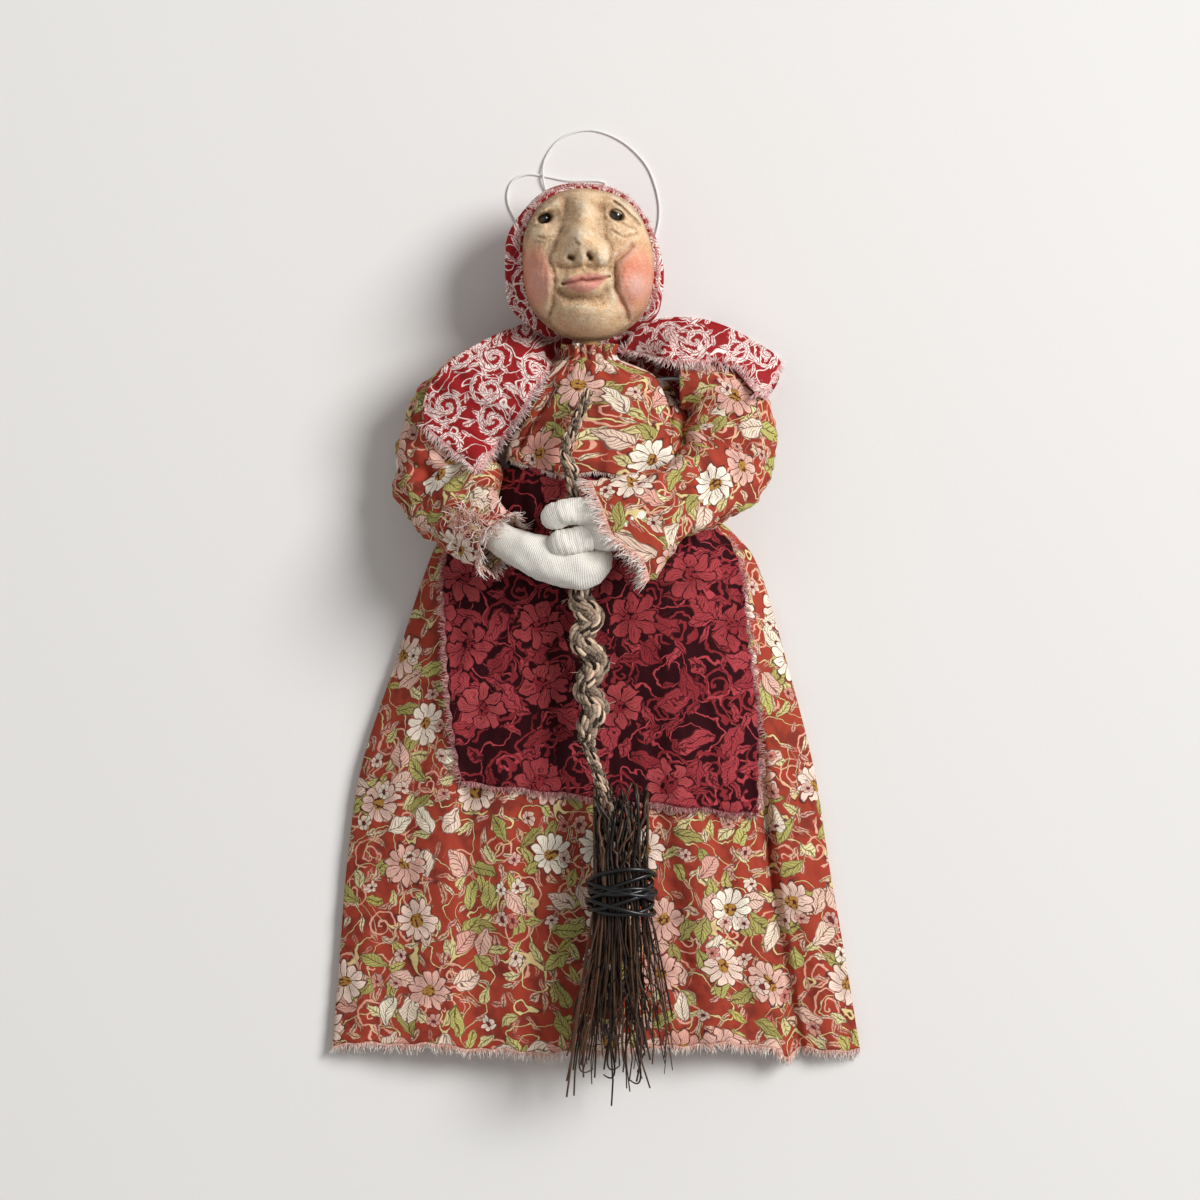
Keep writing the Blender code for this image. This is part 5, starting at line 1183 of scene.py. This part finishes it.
def skirt_surface(rows_count, columns):
    """The skirt's top cloth as a grid of places with its flat places in mm, and how high its waist stands."""
    rows = even_shares(SKIRT_ROWS, rows_count)
    across = np.linspace(-1, 1, columns)
    across = np.sign(across) * np.abs(across) ** 0.85
    down, left, right, tall = (column[:, None] for column in rows.T)
    low = np.minimum(1, down / 0.625)
    lift = SKIRT_EDGE * np.maximum(0, 1 - down / 0.06)
    middle, half = (right - left) * (SKIRT_REACH / 2), (right + left) * (SKIRT_REACH / 2)
    dome = np.maximum(0, 1 - np.abs(across) ** 2.4) ** 0.75
    height = SKIRT_EDGE + (tall * SKIRT_HEIGHT - SKIRT_EDGE) * dome
    for place, wide, rise in SKIRT_FOLDS:
        drift = place + 0.03 * np.sin(down * 5 + place * 7)
        height = height + 5.2 * rise * low * np.exp(-((across - drift) / wide) ** 2) * dome
    fine = 0.5 * np.sin(across * 31 + 1.6 * np.sin(down * 4)) + 0.35 * np.sin(across * 53 + 2.2 * np.sin(down * 3 + 1))
    height = height + (0.9 * low + 0.5 * np.exp(-down * 9)) * fine * dome ** 0.5
    pleat = across - PLEAT_AT - 0.012 * np.sin(down * 6)
    height = height - PLEAT_STEP * low / (1 + np.exp(-pleat / 0.009)) * dome
    height = height - PLEAT_GROOVE * low * np.exp(-((pleat - 0.022) / 0.020) ** 2)
    height = np.maximum(height, lift + SKIRT_EDGE)
    near_hem = np.maximum(0, 1 - (1 - down) / 0.2)
    wave = 4.2 * np.exp(-((across - 0.72) / 0.035) ** 2) + sum(
        tall_wave * np.sin(rate * across + start) for tall_wave, rate, start in HEM_WAVES)
    places = grid(middle + across * half, SKIRT_TOP_Y - SKIRT_LENGTH * down - wave * near_hem, height)
    places[:, :, 2] += 0.22 * waves(places, 9, 31) * low + 0.12 * waves(places, 3.5, 32)
    flat = grid(across * (SKIRT_REACH * 0.72 + half * 0.28), -SKIRT_LENGTH * down)
    return places * MM, flat, lift * MM


class DOLL_OT_skirt(bpy.types.Operator):
    """Lay the long skirt in its folds, with its frayed hem"""
    bl_idname = "doll.skirt"
    bl_label = "Skirt"

    def execute(self, context):
        rows, columns, under_columns = 170, 210, 40
        top, flat, lift = skirt_surface(rows, columns)
        under = np.zeros((rows, under_columns, 3))
        share = np.linspace(0.97, -0.97, under_columns)
        middle = (top[:, :1, 0] + top[:, -1:, 0]) / 2
        half = (top[:, -1:, 0] - top[:, :1, 0]) / 2
        under[:, :, 0] = middle + half * share
        under[:, :, 1] = np.array([np.interp(x, row[:, 0], row[:, 1]) for x, row in zip(under[:, :, 0], top)])
        under[:, :, 2] = lift
        ring = np.concatenate((top, under, top[:, :1]), axis=1)
        under_flat = grid(200 + share * 60, flat[:, :1, 1])
        ring_flat = np.concatenate((flat, under_flat, np.full((rows, 1, 2), 262.0)), axis=1)
        ring_flat[:, -1, 1] = flat[:, 0, 1]
        inner = []
        centre = ring[-1].mean(axis=0)
        for back, shrink, squeeze in HEM_TURNS:
            row = ring[-1].copy()
            row[:, 0] = centre[0] + (row[:, 0] - centre[0]) * shrink
            row[:, 1] += back * MM
            level = np.interp(row[:, 0], top[-1, :, 0], top[-1, :, 2]) / 2
            row[:, 2] = level + (row[:, 2] - level) * squeeze
            inner.append(row[None])
        waist = ring[:1].copy()
        waist[:, :, 2] = (waist[:, :, 2].max() + waist[:, :, 2].min()) / 2
        places = np.concatenate([waist, ring] + inner)
        maps = [ring_flat[:1], ring_flat] + [ring_flat[-1:] + np.array((0, step)) for step in (1.0, 5.0, 10.0)]
        skirt = woven("dress_skirt", places, np.concatenate(maps), weld=True)
        print_cloth = dress_print("dress cotton, flower print", context.scene.doll_cloth.dress)
        settle(skirt, "body", print_cloth, ("skirt",))
        edge = np.concatenate((top[-1], under[-1]))
        out = np.tile((0.0, -1.0, 0.0), (len(edge), 1))
        loose = fray_threads("dress fray", "#D69A88", "#FBF2EA")
        threads = fray("skirt_fray", edge, out, "body", loose)
        return {"FINISHED"}


class DOLL_OT_apron(bpy.types.Operator):
    """Lay the twill apron over the skirt, frayed on its sides and hem"""
    bl_idname = "doll.apron"
    bl_label = "Apron"

    def execute(self, context):
        cloth = context.scene.doll_cloth
        rows = even_shares(APRON_ROWS, 100)
        share = np.linspace(0, 1, 110)
        down, left, right = (column[:, None] for column in rows.T)
        x = APRON_REACH * (-left + (left + right) * share)
        y = APRON_TOP_Y - APRON_LENGTH * down - 12 * down * (share - 0.3) + 0.4 * np.sin(share * 40) * down
        x = x + 0.35 * np.sin(y * 0.9) * np.abs(share - 0.5) * 2
        places = np.stack((x, y, x * 0), -1) * MM
        skirt = bpy.data.objects["dress_skirt"]
        low = heights(tree_of(skirt, NODES["torso"]), places, 1.1 * MM) + 0.7 * MM
        high = relax(low, 14)
        crease = np.exp(-((x + 18.4 + 0.1 * y) / 1.4) ** 2) * step_curve(y, 20, 45) * 1.2
        ridge = 2.2 * np.exp(-((y - 21 - 0.12 * (x - 6)) / 3.0) ** 2)
        ridge = ridge * step_curve(x, 2, 14) * step_curve(52 - x, 0, 12)
        wrinkle = 0.4 * waves(places * np.array((1.6, 0.7, 1)), 14 * MM, 51) + 0.1 * waves(places, 4 * MM, 52)
        edge_roll = 0.8 * np.exp(-np.minimum(share, 1 - share) * 116 / 2.5) * (0.5 + 0.5 * np.sin(y * 0.35))
        places[:, :, 2] = high + (np.abs(wrinkle) + crease + ridge + edge_roll) * MM
        apron = woven("apron_panel", places, np.stack((x, y), -1), turned=True)
        thicken(apron, 0)
        settle(apron, "body", apron_print("maroon cotton twill", cloth.apron), ("apron",))
        edge = np.concatenate((places[20:, 0], places[-1, 1:], places[20:, -1][::-1][1:]))
        loose = fray_threads("apron fray", "#8E3A42", "#DDA3A2")
        threads = fray("apron_fray", edge, outward_from(edge, places, 0.06), "body", loose)
        return {"FINISHED"}


class DOLL_OT_bodice(bpy.types.Operator):
    """Make the stuffed body, the dress's top with its frayed hem, and the gathered neck band"""
    bl_idname = "doll.bodice"
    bl_label = "Body and bodice"

    def execute(self, context):
        self.stuff_body(context.scene.doll_hands.colour)
        dress = bpy.data.materials["dress cotton, flower print"]
        self.sew_top(dress)
        self.gather_neck(dress)
        return {"FINISHED"}

    def stuff_body(self, tone):
        """The stuffed body under the dress, closed at both ends."""
        rows = smooth_rows(BODY_ROWS, 8)
        rows = read_rows(np.linspace(rows[0, 0], rows[-1, 0], 60), rows[:, 0], rows)
        closed = np.array((1, 1, 1, 0.02, 0.02))
        rows = np.vstack((rows[:1] * closed, rows, rows[-1:] * closed))
        angles = np.linspace(0, math.tau, 73)
        y, x, z, wide, deep = (column[:, None] for column in rows.T)
        places = grid(x + wide * np.cos(angles), y, z + deep * np.sin(angles))
        places[:, -1] = places[:, 0]
        places *= MM
        lumps = 0.15 * MM * waves(places, 7 * MM, 71)
        places += unit(places - places.mean(axis=1, keepdims=True)) * lumps[:, :, None]
        torso = woven("stuffed_body", places, grid(angles * 24, y), weld=True)
        settle(torso, "body", gauze("cotton over stuffing", tone), ("torso",))

    def sew_top(self, dress):
        """The top with its gathers, front lap and sunk armholes."""
        turn = np.linspace(0, math.tau, 181)
        side, face = np.cos(turn), np.sin(turn)
        share = np.linspace(0, 1, 80)[:, None]
        hem = np.interp(side, *zip(*BODICE_HEM))
        hem = hem + step_curve(-face, -0.1, 0.4) * (57 - hem) + 0.35 * np.sin(turn * 13)
        y = hem + (BODICE_ROWS[-1, 0] - hem) * share
        left, right, front, rear, middle_z, middle_x = (np.interp(y, BODICE_ROWS[:, 0], column)
                                                        for column in BODICE_ROWS[:, 1:].T)
        x = np.where(side < 0, left, right) * np.sign(side) * np.abs(side) ** 0.85
        z = np.where(face > 0, front, rear) * np.sign(face) * np.abs(face) ** 0.8
        neck = step_curve(y, 88, 101)
        pleat = 0.5 * np.sin(turn * 21 + 0.3 * np.sin(y * 0.1)) * (0.15 + neck) + 0.3 * np.sin(turn * 9 + y * 0.04)
        out = 1 + (pleat + 0.25 * waves(np.stack((x, y, z), -1), 9, 73)) / 18
        x, z = middle_x + x * out, middle_z + z * out
        shown = step_curve(face, 0.0, 0.15)
        seam = x + (y - 77) * 0.1
        lap = step_curve(seam - 1.4, -0.3, 0.3) * (1 - step_curve(y, 90, 97))
        z = z + shown * (0.7 * lap - 0.8 * np.exp(-((seam - 1.0) / 0.8) ** 2) * (y < 95))
        for way, drop, cut in ARMHOLES:
            cut = np.array(cut)
            beyond = way * (x - np.interp(y, cut[:, 0], cut[:, 1]))
            held = step_curve(y, cut[0, 0] - 3, cut[0, 0] + 2) * step_curve(-y, -cut[-1, 0] - 1, -cut[-1, 0] + 3)
            sunk = drop * step_curve(beyond, -0.2, 0.6) + 2.4 * np.exp(-((beyond - 0.5) / 0.7) ** 2)
            z = z - shown * held * sunk
        places = np.stack((x, y, z), -1) * MM
        places[:, -1] = places[:, 0]
        bodice = woven("dress_top", places, grid(turn * 24, y), weld=True)
        thicken(bodice, 1)
        settle(bodice, "body", dress, ("bodice",))
        edge = places[0, :91]
        threads = fray("bodice_fray", edge, np.tile((0.0, -1.0, 0.1), (len(edge), 1)), "body",
                       bpy.data.materials["dress fray"])

    def gather_neck(self, dress):
        """The gathered band round the neck."""
        share = np.linspace(0, 1, 26)[:, None]
        turn = np.linspace(0, math.tau, 261)
        fold = 1 + (0.02 + 0.05 * share) * np.sin(turn * 22 + 1.6 * np.sin(turn * 2)) + 0.035 * np.sin(turn * 9 + 1)
        radius = (12.4 - 3.8 * step_curve(share, 0.1, 0.7) + 0.7 * step_curve(share, 0.8, 1.0)) * fold
        centre_z = np.interp(share, (0, 0.8, 1), (24.5, 27.7, 27.7))
        places = grid(-2.3 + radius * np.cos(turn), 96.5 + 10.9 * share + 0.3 * np.sin(turn * 7),
                      centre_z + radius * np.sin(turn)) * MM
        places[:, -1] = places[:, 0]
        collar = woven("neck_gathers", places, grid(turn * 24, 97 + share * 11), weld=True)
        thicken(collar, 1)
        settle(collar, "body", dress, ("collar",))


class DOLL_OT_sleeves(bpy.types.Operator):
    """Make the wrinkled sleeves with their frayed cuffs"""
    bl_idname = "doll.sleeves"
    bl_label = "Sleeves"

    def execute(self, context):
        dress = bpy.data.materials["dress cotton, flower print"]
        loose = bpy.data.materials["dress fray"]
        for side, shares, widths, start, hollow, seed in SLEEVES:
            left = side == "left"
            table = [(*place, SLEEVE_HALF[0] * wide * MM, SLEEVE_HALF[1] * deep * MM)
                     for place, (wide, deep) in zip(arm_places(shares), widths)]
            path, length = even_rows(table, 150)
            path = path[(np.abs(path[:, 0]) > start * MM) | (path[:, 1] < 85 * MM)]

            def wrinkled(reach, turn, places):
                inner, hollow_y, bulge = hollow
                share = reach / length
                elbow = np.exp(-((share - 0.55) / 0.2) ** 2)
                ring = np.sin(reach / (1.9 * MM) + 1.7 * np.sin(turn + seed) + 0.8 * np.sin(3 * turn))
                long = np.sin(turn * 7 + 2 * np.sin(reach / (9 * MM)) + seed)
                soft = waves(places, 11 * MM, seed) * 0.7 + waves(places, 4.5 * MM, seed + 1) * 0.35
                fill = bulge * np.exp(-((places[:, :, 1] - hollow_y * MM) / (10 * MM)) ** 2)
                fill = fill * np.maximum(0, inner * np.cos(turn)) ** 1.5
                return (fill + 1.0 * elbow * ring * (0.4 + 0.6 * np.cos(turn - 1)) + 0.55 * long * (0.3 + share)
                        + soft) * MM * step_curve(share, 0.05, 0.2)

            places, flat = oval_limb(path, 120, wrinkled)
            # The left cuff is pulled back over the wrist on its upper side, and the right one hangs on its lower side
            drop, shift = (1, (-2.0, -4.5)) if left else (-1, (8.5, -1.5))
            hanging = np.clip(drop * (places[:, :, 1] - path[:, None, 1]) / (9 * MM), 0, 1) ** 2
            hanging = hanging * step_curve(np.linspace(0, 1, len(path)), 0.75, 1.0)[:, None]
            places[:, :, :2] += hanging[:, :, None] * np.array(shift) * MM
            ring = places[-1]
            centre = ring.mean(axis=0)
            ahead = unit(path[-1, :3] - path[-4, :3])
            sleeve = woven(f"sleeve_cloth_{side}", places, flat, weld=True)
            thicken(sleeve, -1)
            settle(sleeve, "arms", dress, (f"sleeve_{side}",))
            if not left:
                # No loose threads on the stretch that lies beside the broom's handle, which swings there
                ring = ring[:93]
            out = np.tile(ahead, (len(ring), 1)) + unit(ring - centre) * 0.3 + np.array((0, 0, 0.2))
            pieces = [fray(f"cuff_fray_{side}", ring, out, "arms", loose)]
            if left:
                pieces.append(settle(self.tangle(tree_of(sleeve)), "arms", loose))
        return {"FINISHED"}

    def tangle(self, cloth_under):
        """Loose threads that cling to the left cuff's gathers."""
        chance = np.random.default_rng(97)
        count, steps = 90, 9
        start = np.column_stack((chance.normal(-44.5, 3.6, count), chance.normal(45.0, 3.4, count))) * MM
        aim = math.radians(-38) + chance.normal(0, 0.9, count)
        swing = aim[:, None] + np.cumsum(chance.normal(0, 0.5, (count, steps)), axis=1)
        stride = chance.uniform(0.5, 1.3, count)[:, None] * MM
        flat = np.stack((start[:, :1] + np.cumsum(np.cos(swing) * stride, axis=1),
                         start[:, 1:] + np.cumsum(np.sin(swing) * stride, axis=1)), -1)
        level = heights(cloth_under, flat, 0.4 * MM).max(axis=1, keepdims=True)
        rise = (0.3 + chance.uniform(0, 1.2, (count, 1)) + 0.5 * np.sin(np.linspace(0, 5, steps))) * MM
        return rods("cuff_tangle", np.concatenate((flat, (level + rise)[:, :, None]), -1), 0.15 * MM, seed=98)


class DOLL_OT_hands(bpy.types.Operator):
    """Wrap the arms in cotton gauze and shape the mitt hands"""
    bl_idname = "doll.hands"
    bl_label = "Mitt hands"

    def execute(self, context):
        sizes = context.scene.doll_hands
        cotton = gauze("ribbed cotton gauze", sizes.colour)
        wrap, hand = sizes.wrap / 2, sizes.width / 2
        mitt = [(hand * wide, hand * deep) for wide, deep in MITT_WIDTHS]
        lobes = [(LOBE_HALF * MM, LOBE_HALF * MM)] * len(THUMB)
        for name, shares, start, nodes in HANDS:
            if start:
                widths = [(wrap, wrap)] * (len(shares) - len(mitt)) + mitt
            else:
                widths = lobes
            table = [(*place, *width) for place, width in zip(arm_places(shares), widths)]
            path, _ = even_rows(table, 110 if start else 40)
            if start:
                path = path[(np.abs(path[:, 0]) > start * MM) | (path[:, 1] < 90 * MM)]
            share = np.linspace(0, 1, len(path))
            blunt = 0.1 if start else 0.28
            tip = np.sqrt(np.clip(1 - ((share - 1 + blunt) / blunt).clip(0, 1) ** 2, 0.0004, 1))
            path[:, 3:5] *= tip[:, None]
            if start:
                path[0, 3:5] *= 0.02
            else:
                path[:, 3:5] *= np.sqrt(np.clip(share / 0.12, 0.0004, 1))[:, None]

            def ribbed(reach, turn, places):
                return (0.08 * np.sin(reach / (0.33 * MM)) + 0.3 * waves(places, 9 * MM, 91)
                        + 0.1 * waves(places, 3 * MM, 92)) * MM * tip[:, None]

            places, flat = oval_limb(path, 64, ribbed)
            piece = woven(name, places, flat[:, :, ::-1], weld=True)
            settle(piece, "arms", cotton, nodes)
        return {"FINISHED"}


def wing_places(edges, rows, columns):
    outer, front = (even_rows(np.array(edge) * MM, columns)[0] for edge in edges)
    share = np.linspace(0, 1, rows)[:, None, None]
    return outer[None] * (1 - share) + front[None] * share


class DOLL_OT_shawl(bpy.types.Operator):
    """Drape the kerchief's two wings over the shoulders and lay its back under them"""
    bl_idname = "doll.shawl"
    bl_label = "Shawl"

    def execute(self, context):
        crimson = bpy.data.materials["crimson kerchief cotton"]
        loose = fray_threads("shawl fray", "#D98E8C", "#FCF0EB")
        under = tree_of(*(bpy.data.objects[name] for name in (
            "sleeve_cloth_left", "sleeve_cloth_right", "dress_top", "neck_gathers")), NODES["shawl_back"])
        rows, columns = 56, 80
        for side, edges, seed in (("left", WING_LEFT, 101), ("right", WING_RIGHT, 103)):
            flat = wing_places(edges, rows, columns)
            places = np.concatenate((flat, np.zeros((rows, columns, 1))), -1)
            low = np.maximum(heights(under, places, 0.9 * MM) + 1.1 * MM,
                             heights(tree_of(NODES[f"shawl_{side}"]), places, 0.3 * MM) + 0.2 * MM)
            along = np.linspace(0, 1, columns)[None, :]
            across = np.linspace(0, 1, rows)[:, None]
            tucked = step_curve(along, 0.0, 0.16)
            low = low * tucked + (5 + 11 * across) * MM * (1 - tucked)
            high = relax(low, 120)
            soft = 0.6 * waves(places, 16 * MM, seed) + 0.25 * waves(places, 5 * MM, seed + 1)
            curl = 1.4 * np.exp(-(1 - across) / 0.05) * (0.6 + 0.4 * np.sin(along * 14))
            places[:, :, 2] = high + (np.abs(soft) + curl) * tucked * MM
            wing = woven(f"wing_{side}", places, flat / MM, turned=side == "left")
            thicken(wing, 0)
            settle(wing, None, crimson, (f"shawl_{side}",))
            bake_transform(wing)
            edge = np.concatenate((places[-1], places[::-1, -1][1:]))
            out = outward_from(edge, places, 0.1)
            threads = fray(f"wing_fray_{side}", edge, out, None, loose)
            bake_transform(threads)
        outline, _ = even_rows(np.array(SHAWL_BACK + SHAWL_BACK[:1]) * MM, 241)
        centre = np.array((0.0, 96.0)) * MM
        top = np.stack([centre + (outline - centre) * share for share in np.linspace(0.01, 1, 34)])
        soft = 0.12 * waves(np.concatenate((top, top[:, :, :1] * 0), -1), 8 * MM, 107) * MM
        top = np.concatenate((top, (1.7 * MM + soft)[:, :, None]), -1)
        low = top[::-1].copy()
        low[:, :, 2] = 0.0
        places = np.concatenate((top, low))
        places[:, -1] = places[:, 0]
        back = woven("shawl_panel", places, places[:, :, :2] / MM, weld=True)
        settle(back, "body", crimson, ("shawl_back",))
        return {"FINISHED"}


class DOLL_OT_broom(bpy.types.Operator):
    """Twist the broom's handle, gather its twigs and wind the wire round them"""
    bl_idname = "doll.broom"
    bl_label = "Broom"

    def execute(self, context):
        sizes = context.scene.doll_broom
        chance = np.random.default_rng(5)
        self.twist_handle(sizes, chance)
        self.gather_twigs(sizes, chance)
        self.wind_wire(sizes)
        return {"FINISHED"}

    def twist_handle(self, sizes, chance):
        """The handle of three loose plies, each of seven yarns, and the hairs that stand off it."""
        table = np.array(HANDLE_ROUTE)
        path, length = even_rows(np.column_stack((table[:, :3] * MM, table[:, 3])), 420)
        centre, thick = path[:, :3], path[:, 3]
        ahead, across, up = frame_along(centre)
        reach = np.linspace(0, length, len(path))
        yarns, radii = [], []
        radius = sizes.handle / 2 * thick
        plies, strands = 3, 7
        turns = np.cumsum(1 / (6.0 * MM + 3.0 * MM * thick)) * (reach[1] - reach[0])
        for ply in range(plies):
            slack = 0.10 * np.sin(reach / (4.1 * MM)) + 0.06 * np.sin(reach / (1.9 * MM) + ply * 2)
            angle = math.tau * (turns + ply / plies + slack * (thick > 1.4))
            ply_radius = radius * (0.5 + 0.09 * np.sin(reach / (3.1 * MM) + ply * 2.3) * (thick > 1.4))
            middle = centre + (across * np.cos(angle)[:, None] + up * np.sin(angle)[:, None]) * (radius * 0.5)[:, None]
            _, ply_across, ply_up = frame_along(middle)
            for strand in range(strands):
                spin = math.tau * (-reach / (7.5 * MM) + strand / (strands - 1)) + ply
                away = ply_radius * (0.68 if strand < strands - 1 else 0.0)
                away = away * (1 + 0.15 * np.sin(reach / (2.2 * MM) + strand * 2 + ply))
                yarns.append(middle + (ply_across * np.cos(spin)[:, None] + ply_up * np.sin(spin)[:, None])
                             * away[:, None])
                radii.append(ply_radius * (0.36 if strand < strands - 1 else 0.5))
        handle = rods("twine_handle", yarns, np.array(radii), 6)
        twine = fibre_material("twisted hemp twine", {"Roughness": 0.88, "Specular IOR Level": 0.25}, "#1C0E09",
                               "#E2C5AB", 1100, 0.9)
        settle(handle, "broom", twine, ("broom_handle",))
        count = 420
        marks = chance.integers(5, len(path) - 5, count)
        tuft = chance.random(count) < 0.3
        marks[tuft] = chance.integers(85, 125, tuft.sum())
        side = chance.uniform(0, math.tau, count)
        way = unit(across[marks] * np.cos(side)[:, None] + up[marks] * np.sin(side)[:, None]
                   + ahead[marks] * chance.normal(0.6, 0.8, count)[:, None])
        long = np.where(tuft, chance.uniform(2, 9, count), chance.uniform(0.8, 2.6, count))[:, None, None] * MM
        t = np.linspace(0, 1, 6)[None, :, None]
        hairs = centre[marks][:, None] + way[:, None] * ((radius[marks] * 0.8)[:, None, None] + long * t)
        hairs = hairs + chance.normal(0, 0.5, (count, 1, 3)) * long * t ** 2
        hairs[:, :, 2] = np.minimum(hairs[:, :, 2], 56 * MM)
        settle(rods("twine_fuzz", hairs, 0.09 * MM, seed=9), "broom", twine)

    def gather_twigs(self, sizes, chance):
        """The bundle: crooked twigs through the binding, some of them forked, and a few hooked tips."""
        (x0, y0, z0), (half_x, half_z), points = BUNDLE_MIDDLE, BUNDLE_HALF, 18
        lowest, highest = TWIG_LEVELS
        routes, thickness = [], []
        t = np.linspace(-1, 1, points)
        share = np.linspace(0, 1, points)
        low, high = np.maximum(0, t), np.maximum(0, -t)
        for _ in range(sizes.twigs):
            turn, out = chance.uniform(0, math.tau), math.sqrt(chance.random()) * 0.92
            spot = np.array((math.cos(turn) * out, math.sin(turn) * out))
            bottom, stub = 0.6 + 0.4 * chance.random() ** 1.8, 0.1 + 0.9 * chance.random() ** 1.3
            spread = chance.normal(1.15, 0.5)
            x = x0 + spot[0] * half_x * (1 + low ** 1.2 * spread * bottom + 0.5 * high ** 2 * (stub - 0.45))
            y = y0 - 11 - low * (66 + 11 * chance.random()) * bottom + high * (11 + 29 * stub)
            z = z0 + spot[1] * half_z * (1 + low * 0.2) - 6 * low
            loose = low * chance.uniform(0.8, 2.6) + high ** 1.3 * chance.uniform(1.0, 3.0)
            bend = sum(np.sin(t * rate + chance.uniform(0, math.tau)) / rate for rate in (3.1, 6.3, 11.0)) * 3.4
            x = x + loose * (bend + np.cumsum(chance.normal(0, 0.7, points)) * (chance.random() < 0.75))
            z = z + loose * np.cumsum(chance.normal(0, 0.2, points))
            x = np.clip(x, x0 - 9.5 - 10 * low, x0 + 9.5 + 9 * low)
            routes.append(np.column_stack((x, y, np.clip(z, lowest, highest))))
            thickness.append(np.linspace(0.95, 0.5, points) * chance.uniform(0.6, 1.45))
            if chance.random() < 0.3:
                start = chance.integers(10, 15)
                away = np.array((chance.normal(0, 4.5), -chance.uniform(4, 13), chance.normal(0, 1.5)))
                fork = routes[-1][start] + np.outer(share, away)
                fork[:, 0] += np.cumsum(chance.normal(0, 0.18, points))
                fork[:, 1] = np.maximum(fork[:, 1], -165.5)
                fork[:, 2] = np.clip(fork[:, 2], lowest, highest)
                routes.append(fork)
                thickness.append(np.linspace(0.65, 0.35, points))
        for tip_x, tip_y, curl in TWIG_HOOKS:
            routes.append(np.column_stack((tip_x + curl * np.sin(share * 3.4),
                                           tip_y + 16 * (1 - share) - 9 * np.sin(share * 2.9),
                                           34 + 2 * np.cos(share * 3))))
            thickness.append(np.linspace(0.9, 0.5, points))
        bundle = rods("twig_bundle", np.array(routes) * MM, np.array(thickness) * sizes.twig / 2, 6)
        bark = fibre_material("dark twig bark", {"Roughness": 0.37, "Specular IOR Level": 0.35}, "#030101", "#553A29",
                              500, 0.9)
        settle(bundle, "broom", bark, ("bristles",))

    def wind_wire(self, sizes):
        """The binding: turns of wire that cross each other round the twigs."""
        t = np.linspace(0, WIRE_TURNS, int(WIRE_TURNS * 40))
        wobble = 2.9 * np.sin(math.tau * t + 1.3 * t) + 0.6 * np.sin(t * 2.3 + 1)
        stand = WIRE_STAND + 0.55 * np.sin(t * math.tau * 0.37 + 1) + 0.25 * np.sin(t * 9.1)
        x0, y0, z0 = BUNDLE_MIDDLE
        wound = np.column_stack((x0 + (BUNDLE_HALF[0] + stand) * np.cos(math.tau * t),
                                 y0 - 5.5 - 11.5 * (t / WIRE_TURNS) + wobble,
                                 z0 + (BUNDLE_HALF[1] + stand) * np.sin(math.tau * t))) * MM
        wire = rods("wire_binding", [wound], sizes.wire / 2, 10, reference=(0.0, 1.0, 0.02))
        black = plain_material("black covered wire", {"Base Color": "#0E0D0E", "Roughness": 0.32}, 700, 0.08)
        settle(wire, "broom", black, ("binding_wire",))


class DOLL_OT_inner_parts(bpy.types.Operator):
    """Finish the wooden neck peg and the arm wire that the clothes hide"""
    bl_idname = "doll.inner_parts"
    bl_label = "Inner parts"

    def execute(self, context):
        wood = fibre_material("whittled birch", {"Roughness": 0.6}, "#B98D5A", "#DDBB88", 350, 0.3)
        steel = plain_material("galvanised steel wire", {"Base Color": "#A9A9AB", "Metallic": 1.0, "Roughness": 0.4},
                               500, 0.08)
        for node, finish in (("neck_peg", wood), ("arm_wire", steel)):
            mesh = NODES[node].data
            mesh.materials.clear()
            mesh.materials.append(finish)
        return {"FINISHED"}


class DOLL_PT_panel(bpy.types.Panel):
    """The doll's sizes, colours and steps"""
    bl_idname = "DOLL_PT_panel"
    bl_label = "Apple head doll"
    bl_space_type = "VIEW_3D"
    bl_region_type = "UI"
    bl_category = "Doll"

    def draw(self, context):
        for group, kind in GROUPS.items():
            box = self.layout.box()
            for name in kind.__annotations__:
                box.prop(getattr(context.scene, group), name)
        for operator in STEPS:
            self.layout.operator(operator.bl_idname)


GROUPS = {"doll_thread": DollThread, "doll_head": DollHead, "doll_cloth": DollCloth, "doll_hands": DollHands,
          "doll_broom": DollBroom, "doll_stage": DollStage}
STEPS = (DOLL_OT_stage, DOLL_OT_thread, DOLL_OT_head, DOLL_OT_hood, DOLL_OT_skirt, DOLL_OT_apron, DOLL_OT_bodice,
         DOLL_OT_sleeves, DOLL_OT_hands, DOLL_OT_shawl, DOLL_OT_broom, DOLL_OT_inner_parts)


def register():
    for kind in (*GROUPS.values(), *STEPS, DOLL_PT_panel):
        bpy.utils.register_class(kind)
    for name, kind in GROUPS.items():
        setattr(bpy.types.Scene, name, bpy.props.PointerProperty(type=kind))


def unregister():
    for name in GROUPS:
        delattr(bpy.types.Scene, name)
    for kind in (DOLL_PT_panel, *reversed(STEPS), *reversed(list(GROUPS.values()))):
        bpy.utils.unregister_class(kind)


def main():
    register()
    for operator in STEPS:
        getattr(bpy.ops.doll, operator.bl_idname.split(".")[1])()


if __name__ == "__main__":
    main()
